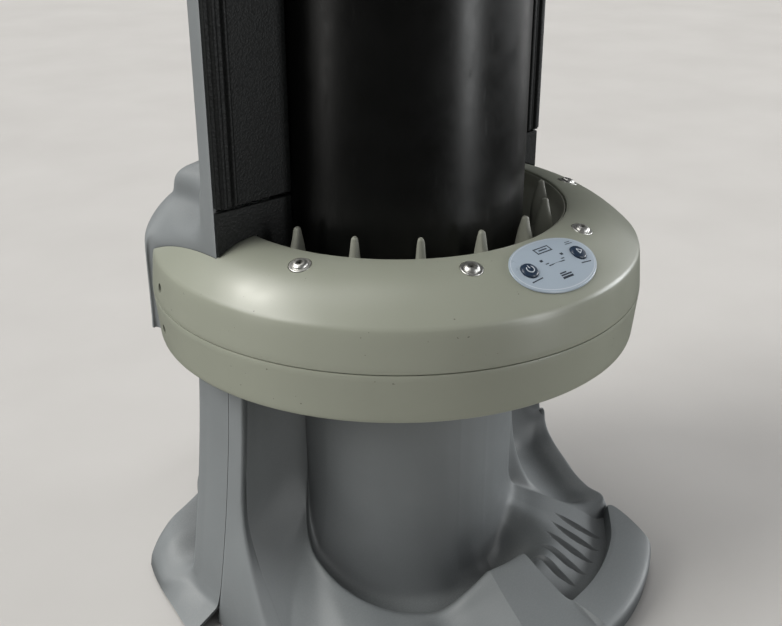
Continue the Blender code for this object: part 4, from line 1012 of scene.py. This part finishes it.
def lower_panel(side):
    """Panel whose foot follows the collar's dome outside x = 116.3."""
    head_z = PANEL_SPLIT_Z - 3.0
    sections = []
    for x in np.concatenate([np.linspace(146.2, 116.3, 24), np.linspace(116.2, 89.5, 12)]):
        foot_z = dome(x) + 0.6 if x >= 116.3 else 262.6
        ring = [(PANEL_FRONT_Y + 0.5, foot_z), (PANEL_FRONT_Y, foot_z + 0.5)]
        ring += [(PANEL_FRONT_Y, foot_z + 0.5 + (head_z - foot_z - 1.0) * h)
                 for h in np.linspace(0, 1, 12)[1:]]
        ring += [(PANEL_FRONT_Y + 0.5, head_z), (PANEL_BACK_Y, head_z), (PANEL_BACK_Y, foot_z)]
        sections.append([Vector((side * x, y, z)) * MM for y, z in ring])
    return loft(sections)


for side, word in SIDES:
    plan = rounded([(side * x, y, 1) for x, y in UPPER_PANEL], 0.7, steps=3, limit=0.42)
    slab("wing_upper_%s_skin" % word, plan, PANEL_SPLIT_Z, TOWER_TOP, "panel_black",
         "wing_panel_upper_" + word, edge=0.5, smooth=35.0)
    add("wing_lower_%s_skin" % word, *lower_panel(side), "panel_black", "chassis",
        "wing_panel_lower_" + word, 35.0)

# ---------------------------------------------------------------- drum
wall = rounded([(DRUM_R, DRUM_TOP, 1), (DRUM_R, 262.3, 1), (DRUM_R - 2.5, 262.3, 1),
                (DRUM_R - 2.5, DRUM_TOP, 1)], 0.6)
profile = []
for start, end in zip(wall, wall[1:] + wall[:1]):
    # long walls are divided into lengths of at least 24 mm
    steps = max(1, int(math.hypot(end[0] - start[0], end[1] - start[1]) // 24))
    profile += [along(start, end, s / steps) if s else start for s in range(steps)] \
        if steps == 1 else \
        [(start[0] + (end[0] - start[0]) * s / steps, start[1] + (end[1] - start[1]) * s / steps)
         for s in range(steps)]
add("drum_skin", *lathe(profile, 256), "drum_black", "chassis", "drum_cover")

cap = rounded([
    (0, DRUM_TOP + 6.5, 0), (74, DRUM_TOP + 6.5, 6), (84.5, DRUM_TOP + 4.2, 4),
    (DRUM_R, DRUM_TOP + GAP, 1.2), (DRUM_R - 2.8, DRUM_TOP + GAP, 0.4),
    (DRUM_R - 2.8, DRUM_TOP - 8, 0.4), (DRUM_R - 5.2, DRUM_TOP - 8, 0.4),
    (DRUM_R - 5.2, DRUM_TOP + 2, 0.4), (0, DRUM_TOP + 2.8, 0)], 1.0, steps=5)
add("drum_cap_skin", *lathe(cap, 192, closed=False), "drum_black", "chassis", "drum_cap")

# ---------------------------------------------------------------- places on the collar
PAD_POS = on_dome(PAD_R, 0.0)
PAD_X = Vector((1, 0, 0))
PAD_Y = dome_normal(PAD_R, 0.0).cross(PAD_X).normalized()
SCREW_FRAMES = [frame_z(on_dome(SCREW_R, angle, -SCREW_SINK), dome_normal(SCREW_R, angle))
                for angle in SCREW_ANGLES]


def button_frame(side):
    place = PAD_POS + PAD_X * side * BUTTON_X
    r = math.hypot(place.x, place.y)
    angle = math.degrees(math.atan2(place.x, -place.y))
    return frame_z(Vector((place.x, place.y, dome(r))), dome_normal(r, angle))


BUTTONS = {"power": button_frame(-1), "start": button_frame(1)}


def side_wall_x(drop):
    """Half width of the collar's wall at the side screws."""
    return math.sqrt((COLLAR_R - drop) ** 2 - SIDE_SCREW_Y ** 2)


def side_hole_tools(z, drop):
    x = side_wall_x(drop)
    return [cylinder_tool(3.4, -6.0, 6.0, frame_z((side * x, SIDE_SCREW_Y, z), (side, 0, 0)), 40)
            for side, _ in SIDES]


def tower_notch_tool():
    return box_tool((-COLLAR_CUT_X, SPLIT_Y - GAP, 150), (COLLAR_CUT_X, 260, 340))


# ---------------------------------------------------------------- collar
profile = [(COLLAR_RIM_R, COLLAR_RIM_Z - 1.0), (COLLAR_RIM_R + 0.35, COLLAR_RIM_Z - 0.25)]
for k in range(1, 41):
    r = COLLAR_RIM_R + (167.0 - COLLAR_RIM_R) * k / 40
    profile.append((r, dome(r)))
# outer wall downwards, then the inside upwards
profile += [(167.6, 255.8), (168.1, 253.0), (168.6, 248.0), (169.2, 241.0), (169.7, 235.0),
            (COLLAR_R, 231.4), (COLLAR_R - 0.25, COLLAR_PART_Z + GAP + 0.1),
            (COLLAR_R - 0.9, COLLAR_PART_Z + GAP), (COLLAR_R - 2.8, COLLAR_PART_Z + GAP),
            (164.9, 254.0)]
for k in range(8, -1, -1):
    r = COLLAR_RIM_R + 1.5 + (158.0 - COLLAR_RIM_R) * k / 8
    profile.append((r, dome(r) - 3.0))
profile.append((COLLAR_RIM_R, COLLAR_RIM_Z - 4.6))
upper = add("collar_upper_skin", *lathe(profile, 320), "collar_beige", "chassis",
            "collar_upper", 28.0)
tools = [tower_notch_tool()]
for matrix in SCREW_FRAMES:
    tools.append(cylinder_tool(7.4, 0.0, 6.0, matrix, 64))
    tools.append(cylinder_tool(2.4, -8.0, 2.0, matrix, 32))
for matrix in BUTTONS.values():
    tools.append(cylinder_tool(BUTTON_HOLE_R, -8.0, 6.0, matrix))
cut_away(upper, tools + side_hole_tools(*SIDE_SCREWS[0][1:]), 30)

profile = [(COLLAR_R - 0.9, COLLAR_PART_Z - GAP), (COLLAR_R - 0.25, COLLAR_PART_Z - GAP - 0.15),
           (COLLAR_R, COLLAR_PART_Z - 1.5)]
for k in range(1, 8):
    t = k / 8
    profile.append((COLLAR_R - 2.6 * t, COLLAR_PART_Z - 1.5 - 29.5 * t))
profile += [(167.35, 199.0), (167.0, 197.8), (166.2, 197.0), (165.2, COLLAR_Z0),
            (97.5, COLLAR_Z0), (97.5, COLLAR_Z0 + 2.4), (164.6, COLLAR_Z0 + 2.4),
            (167.2, COLLAR_PART_Z - GAP)]
lower = add("collar_lower_skin", *lathe(profile, 320), "collar_beige", "chassis",
            "collar_lower", 28.0)
cut_away(lower, [tower_notch_tool()] + side_hole_tools(*SIDE_SCREWS[1][1:]), 30)

# ---------------------------------------------------------------- guide ring
profile = rounded([
    (116.3, 279.6, 0.3), (116.3, 273.0, 0), (106.5, 260.4, 4), (97.6, 251.5, 3),
    (96.6, 248.5, 1), (94.0, 248.5, 0.5), (94.0, 252.5, 1), (103.5, 263.0, 5),
    (112.2, 272.0, 5), (114.4, 277.0, 2), (115.4, 279.6, 0.3)], 1.0)
guide = add("guide_ring_skin", *lathe(profile, 220, start=-90.2, sweep=180.4), "guide_beige",
            "chassis", "plate_guide_ring", 40.0)

# inner radius, outer radius, half width, height
FINGER_KEYS = [
    (96.4, 107.5, 4.6, 256.8), (96.4, 109.8, 4.4, 268.0), (98.4, 107.0, 3.4, 279.0),
    (100.2, 105.4, 2.75, 285.5), (100.7, 105.0, 2.2, 287.7), (101.6, 104.2, 1.2, 288.6),
]
FINGER_SPANS = [5, 6, 5, 3, 3]
FINGER_SIDES = 20


def finger_tool(angle):
    """Tapered finger with an oval section and a rounded tip."""
    turn = math.radians(angle)
    outward = Vector((math.sin(turn), -math.cos(turn), 0))
    sideways = Vector((math.cos(turn), math.sin(turn), 0))
    sizes = spline([key[:3] for key in FINGER_KEYS], FINGER_SPANS)
    heights = spline([(key[3], 0, 0) for key in FINGER_KEYS], FINGER_SPANS)[:, 0]
    sections = []
    for (r0, r1, half_width), z in zip(sizes, heights):
        middle, reach = (r0 + r1) / 2, (r1 - r0) / 2
        section = []
        for s in range(FINGER_SIDES):
            q = 2 * math.pi * s / FINGER_SIDES
            cosine, sine = math.cos(q), math.sin(q)
            out = math.copysign(abs(cosine) ** 0.75, cosine)
            across = math.copysign(abs(sine) ** 0.75, sine)
            point = (outward * (middle + reach * out)
                     + sideways * half_width * across * (0.8 + 0.2 * cosine)) + Vector((0, 0, z))
            section.append(point * MM)
        sections.append(section)
    return tool(*loft(sections, cap_turn=-1))


cut_away(guide, [finger_tool((k - 3.5) * FINGER_STEP) for k in range(8)], 38, "UNION")


# ---------------------------------------------------------------- control pad
def pad_point(u, v, lift):
    """Point (metres) above the dome at pad coordinates u, v; all three are in mm."""
    place = PAD_POS + PAD_X * u + PAD_Y * v
    return Vector((place.x, place.y, dome(math.hypot(place.x, place.y)) + lift)) * MM


def oval(a, b, count=96):
    return [(a * math.cos(2 * math.pi * k / count), b * math.sin(2 * math.pi * k / count))
            for k in range(count)]


def bar(u0, v0, u1, v1):
    return [(u0, v0), (u1, v0), (u1, v1), (u0, v1)]


# (lift, share of the oval) from the middle of the underside to the middle of the top
PAD_SECTION = [
    (0.3, 0.0), (0.3, 0.5), (0.3, 0.993), (0.5, 1.0), (1.25, 1.0), (1.45, 0.995),
    (1.5, 0.985), (1.5, 0.8), (1.5, 0.6), (1.5, 0.4), (1.5, 0.2), (1.5, 0.0),
]
PAD_STEPS = 120
verts, faces, rings = [], [], []
for lift, share in PAD_SECTION:
    if share == 0.0:
        rings.append([len(verts)] * PAD_STEPS)
        verts.append(pad_point(0, 0, lift))
        continue
    rings.append(range(len(verts), len(verts) + PAD_STEPS))
    verts += [pad_point(u, v, lift) for u, v in oval(PAD_A * share, PAD_B * share, PAD_STEPS)]
for ring_a, ring_b in zip(rings, rings[1:]):
    faces += bridge(ring_a, ring_b)
pad = add("control_pad_skin", verts, faces, "pad_film", "chassis", "control_pad", 35.0)
cut_away(pad, [cylinder_tool(BUTTON_HOLE_R, -6.0, 6.0, matrix, 64)
               for matrix in BUTTONS.values()], 35)

PRINT_LOW, PRINT_HIGH = 1.46, 1.56    # the print straddles the film's top


def pad_print(name, outlines, slot):
    """Thin closed print; an outline is a loop of (u, v), or (outer, inner) for a frame."""
    verts, faces = [], []
    for item in outlines:
        base = len(verts)
        if isinstance(item, tuple):
            n = len(item[0])
            for lift in (PRINT_HIGH, PRINT_LOW):
                for loop in item:
                    verts += [pad_point(u, v, lift) for u, v in loop]
            # first vertices of the outer and inner loops, top then bottom
            o1, i1, o0, i0 = base, base + n, base + 2 * n, base + 3 * n
            for s in range(n):
                t = (s + 1) % n
                faces += [(o1 + s, o1 + t, i1 + t, i1 + s), (o0 + t, o0 + s, i0 + s, i0 + t),
                          (o0 + s, o0 + t, o1 + t, o1 + s), (i1 + s, i1 + t, i0 + t, i0 + s)]
        else:
            n = len(item)
            for lift in (PRINT_HIGH, PRINT_LOW):
                verts += [pad_point(u, v, lift) for u, v in item]
            top, bottom = range(base, base + n), range(base + n, base + 2 * n)
            faces += [tuple(top), tuple(bottom[::-1])] + bridge(bottom, top)
    add(name, verts, faces, slot)


# a framed outline with a bar in it, thin rules, a small legend block and a border
pad_print("pad_mark_plate", [(bar(-6.6, 7.4, 6.6, 13.0), bar(-5.7, 8.3, 5.7, 12.1)),
                             bar(-3.6, 9.7, 3.6, 10.7)], "print_dark")
pad_print("pad_mark_rules", [
    bar(-10.5, 1.2, 10.5, 2.9), bar(-8.5, -1.6, 8.5, -0.9), bar(-7.0, -3.4, 7.0, -2.7),
    bar(-27.0, -8.6, -18.0, -7.9), bar(18.0, -8.6, 27.0, -7.9), bar(19.5, 8.2, 26.0, 8.8),
    bar(20.5, 9.9, 25.0, 10.4)], "print_dark")
pad_print("pad_mark_legend", [bar(-4.6, -14.2, 4.6, -12.9), bar(-4.6, -12.3, 4.6, -11.4),
                              bar(-4.6, -10.8, 1.0, -10.0)], "print_dark")
pad_print("pad_border_line", [(oval(PAD_A - 1.1, PAD_B - 1.1), oval(PAD_A - 1.6, PAD_B - 1.6))],
          "print_pale")

# ---------------------------------------------------------------- buttons
SYMBOL_LOW, SYMBOL_HIGH = 2.70, 3.08


def stroke_sections(points, width, matrix):
    """Rectangular sections of a stroke along points on a button's face."""
    sections = []
    for i, (x, y) in enumerate(points):
        before = points[max(i - 1, 0)]
        after = points[min(i + 1, len(points) - 1)]
        heading = Vector((after[0] - before[0], after[1] - before[1], 0)).normalized()
        offset = Vector((-heading.y, heading.x, 0)) * width / 2
        section = []
        for side, height in ((-1, SYMBOL_LOW), (1, SYMBOL_LOW),
                             (1, SYMBOL_HIGH), (-1, SYMBOL_HIGH)):
            corner = Vector((x, y, 0)) + offset * side
            section.append(matrix @ (Vector((corner.x, corner.y, height)) * MM))
        sections.append(section)
    return sections


def symbol_strokes(word, turn):
    """Stroke width and strokes; turn is the pad's up direction in the button's plane."""
    if word == "power":
        arc = [(2.5 * math.cos(turn + math.radians(q)), 2.5 * math.sin(turn + math.radians(q)))
               for q in range(38, 323, 12)]
        return 0.62, [arc, [(r * math.cos(turn), r * math.sin(turn)) for r in (0.4, 3.1)]]
    triangle = [(2.3 * math.cos(turn + math.radians(q)), 2.3 * math.sin(turn + math.radians(q)))
                for q in (-90, 30, 150, 270)]
    return 0.6, [triangle[k:k + 2] for k in range(3)]


for word, matrix in BUTTONS.items():
    body = word + "_button_body"
    profile = rounded([(0, 3.0, 0), (3.2, 2.9, 2), (4.9, 2.5, 1.5), (5.5, 1.9, 1),
                       (5.5, -3.6, 0), (0, -3.6, 0)], 0.6)
    add(word + "_button_skin", *lathe(profile, 64, closed=False, matrix=matrix), "button_navy",
        body, word + "_button")
    # pale symbol: broken ring and bar for power, triangle for start
    up_local = (matrix.to_3x3().inverted() @ PAD_Y)
    width, strokes = symbol_strokes(word, math.atan2(up_local.y, up_local.x))
    verts, faces = [], []
    for points in strokes:
        new_verts, new_faces = loft(stroke_sections(points, width, matrix), first=len(verts))
        verts += new_verts
        faces += new_faces
    symbol = add(word + "_button_symbol", verts, faces, "print_pale", body)

# ---------------------------------------------------------------- fasteners
# (r, z, rounding) of a washer-headed screw and of a small side screw
COLLAR_SCREW = [
    (0, 3.25, 0), (3.3, 3.2, 0.8), (4.7, 2.1, 1.0), (4.9, 1.25, 0.3), (5.05, 1.25, 0.2),
    (6.7, 1.25, 0.5), (7.0, 0.9, 0.4), (7.0, 0.2, 0), (2.1, 0.2, 0), (2.1, -7.0, 0), (0, -7.0, 0),
]
SOCKET_FLOOR = [(0, 1.35), (1.95, 1.35), (1.95, 0.95), (0, 0.95)]
SIDE_SCREW = [
    (0, 1.7, 0), (1.9, 1.7, 0.6), (3.0, 1.0, 0.6), (3.0, -1.0, 0.3), (1.5, -1.0, 0),
    (1.5, -7.0, 0), (0, -7.0, 0),
]

for number, matrix in enumerate(SCREW_FRAMES, start=1):
    name = "collar_screw_%d" % number
    profile = rounded(COLLAR_SCREW, 0.7)
    screw = add(name + "_skin", *lathe(profile, 72, closed=False, matrix=matrix),
                "screw_steel", "chassis", name, 32.0)
    cut_away(screw, [hex_tool(4.0, 0.9, 6.0, matrix)], 32)
    socket = add(name + "_socket", *lathe(SOCKET_FLOOR, 24, closed=False, matrix=matrix),
                 "socket_dark")
for side, word in SIDES:
    for level, z, drop in SIDE_SCREWS:
        name = "side_screw_%s_%s" % (word, level)
        matrix = frame_z((side * (side_wall_x(drop) - 3.2), SIDE_SCREW_Y, z), (side, 0, 0))
        profile = rounded(SIDE_SCREW, 0.6, steps=3)
        screw = add(name + "_skin", *lathe(profile, 48, closed=False, matrix=matrix),
                    "screw_steel", "chassis", name, 32.0)
        screw.data.materials[0] = MAT["socket_dark"]
        cut_away(screw, [hex_tool(2.2, 0.4, 4.0, matrix)], 32)

# ---------------------------------------------------------------- floor (metres)
FLOOR_HALF = 9
mesh = bpy.data.meshes.new("floor")
mesh.from_pydata([(x * FLOOR_HALF, y * FLOOR_HALF, 0.0)
                  for x, y in ((-1, -1), (1, -1), (1, 1), (-1, 1))], [], [(0, 1, 2, 3)])
floor = bpy.data.objects.new("floor", mesh)
bpy.context.scene.collection.objects.link(floor)

tree, shader, here = new_material("paper_floor")
patches = span(tree, noise(tree, here, scale=5.0, detail=4.0), (0.3, 0.7))
feed(tree, shader, {
    "Base Color": mix(tree, patches, (0.585, 0.570, 0.550), (0.625, 0.610, 0.590)),
    "Roughness": 0.75,
    "Specular IOR Level": 0.0,
    "Normal": bump(tree, noise(tree, here, scale=700.0, detail=4.0), distance=0.00006)})
# reflections see a much darker floor
path = tree.nodes.new("ShaderNodeLightPath")
dim = add_node(tree, "BsdfDiffuse", {"Color": (0.05, 0.05, 0.048, 1)})
blend = add_node(tree, "MixShader", {0: path.outputs["Is Glossy Ray"],
                                     1: shader.outputs["BSDF"], 2: dim.outputs["BSDF"]})
tree.links.new(blend.outputs[0], tree.nodes["Material Output"].inputs["Surface"])
mesh.materials.append(MAT["paper_floor"])

# ---------------------------------------------------------------- world
world = bpy.data.worlds.new("studio")
bpy.context.scene.world = world
world.use_nodes = True
tree = world.node_tree
path = tree.nodes.new("ShaderNodeLightPath")
# dim in reflections, brighter where the camera sees it directly
ambient = span(tree, path.outputs["Is Glossy Ray"], (0.0, 1.0), (0.30, 0.03))
seen = span(tree, path.outputs["Is Camera Ray"], (0.0, 1.0), (0.0, 0.34))
feed(tree, tree.nodes["Background"], {0: (0.90, 0.90, 0.92, 1),
                                      1: combine(tree, "ADD", ambient, seen)})


# ---------------------------------------------------------------- lights (metres, watts)
def place_light(name, data, heading, place=(0, 0, 0)):
    obj = bpy.data.objects.new(name, data)
    bpy.context.scene.collection.objects.link(obj)
    obj.location = place
    obj.rotation_mode = "QUATERNION"
    obj.rotation_quaternion = heading.to_track_quat("-Z", "Y")
    return obj


def daylight(name, toward, strength, angle, colour):
    """Broad soft light from a direction, even over the whole floor."""
    data = bpy.data.lights.new(name, "SUN")
    data.energy = strength
    data.angle = math.radians(angle)
    data.color = colour
    place_light(name, data, -Vector(toward))


def reflection_box(name, place, target, size, power, colour):
    """Rectangle that lights no matt surface and is hidden from the camera."""
    data = bpy.data.lights.new(name, "AREA")
    data.shape = "RECTANGLE"
    data.size, data.size_y = size
    data.energy = power
    data.color = colour
    obj = place_light(name, data, Vector(target) - Vector(place), place)
    obj.visible_camera = False
    obj.visible_diffuse = False


def reflection_strip(name, azimuth, power, width, colour=(1.0, 1.0, 1.0)):
    """Upright strip 1.5 m from the axis."""
    x, y = polar(1.5, azimuth)
    reflection_box(name, (x, y, 0.55), target=(0, 0, 0.35), size=(width, 1.1), power=power,
                   colour=colour)


daylight("window_left", toward=(-0.95, 0.45, 0.90), strength=2.05, angle=34,
         colour=(1.0, 0.99, 0.96))
daylight("ceiling", toward=(0.00, 0.42, 1.0), strength=0.98, angle=40,
         colour=(1.0, 0.99, 0.97))
daylight("window_right", toward=(0.92, -0.30, 0.14), strength=1.6, angle=28,
         colour=(0.97, 0.99, 1.0))
reflection_strip("strip_front", azimuth=19, power=9.0, width=0.20, colour=(0.98, 1.0, 1.0))
reflection_strip("strip_right", azimuth=92, power=1.5, width=0.50)
reflection_box("lamp_behind", (0.52, 1.36, 1.60), target=(-0.05, 0.0, 0.27), size=(0.7, 0.5),
               power=6.0, colour=(1.0, 0.99, 0.97))
reflection_box("lamp_overhead", (-0.85, 1.00, 1.83), target=(-0.15, -0.04, 0.27),
               size=(0.30, 0.30), power=14.0, colour=(1.0, 0.98, 0.92))
reflection_strip("strip_left", azimuth=-101, power=2.2, width=0.20, colour=(1.0, 0.98, 0.94))

# ---------------------------------------------------------------- camera
CAMERA_PLACE = (-0.4843, -0.5360, 0.5197)     # metres: front left, above the collar
cam_data = bpy.data.cameras.new("camera")
cam_data.sensor_width = 36.0
cam_data.lens = 50.2250639386
camera = bpy.data.objects.new("camera", cam_data)
bpy.context.scene.collection.objects.link(camera)
forward = Vector((0.6074, 0.6790, -0.4125)).normalized()
right = forward.cross(Vector((0, 0, 1))).normalized()
up = right.cross(forward)
turn = Matrix((right, up, -forward)).transposed().to_4x4()
camera.matrix_world = Matrix.Translation(CAMERA_PLACE) @ turn
bpy.context.scene.camera = camera
bpy.context.scene.view_settings.view_transform = "Standard"
bpy.context.scene.view_settings.look = "None"
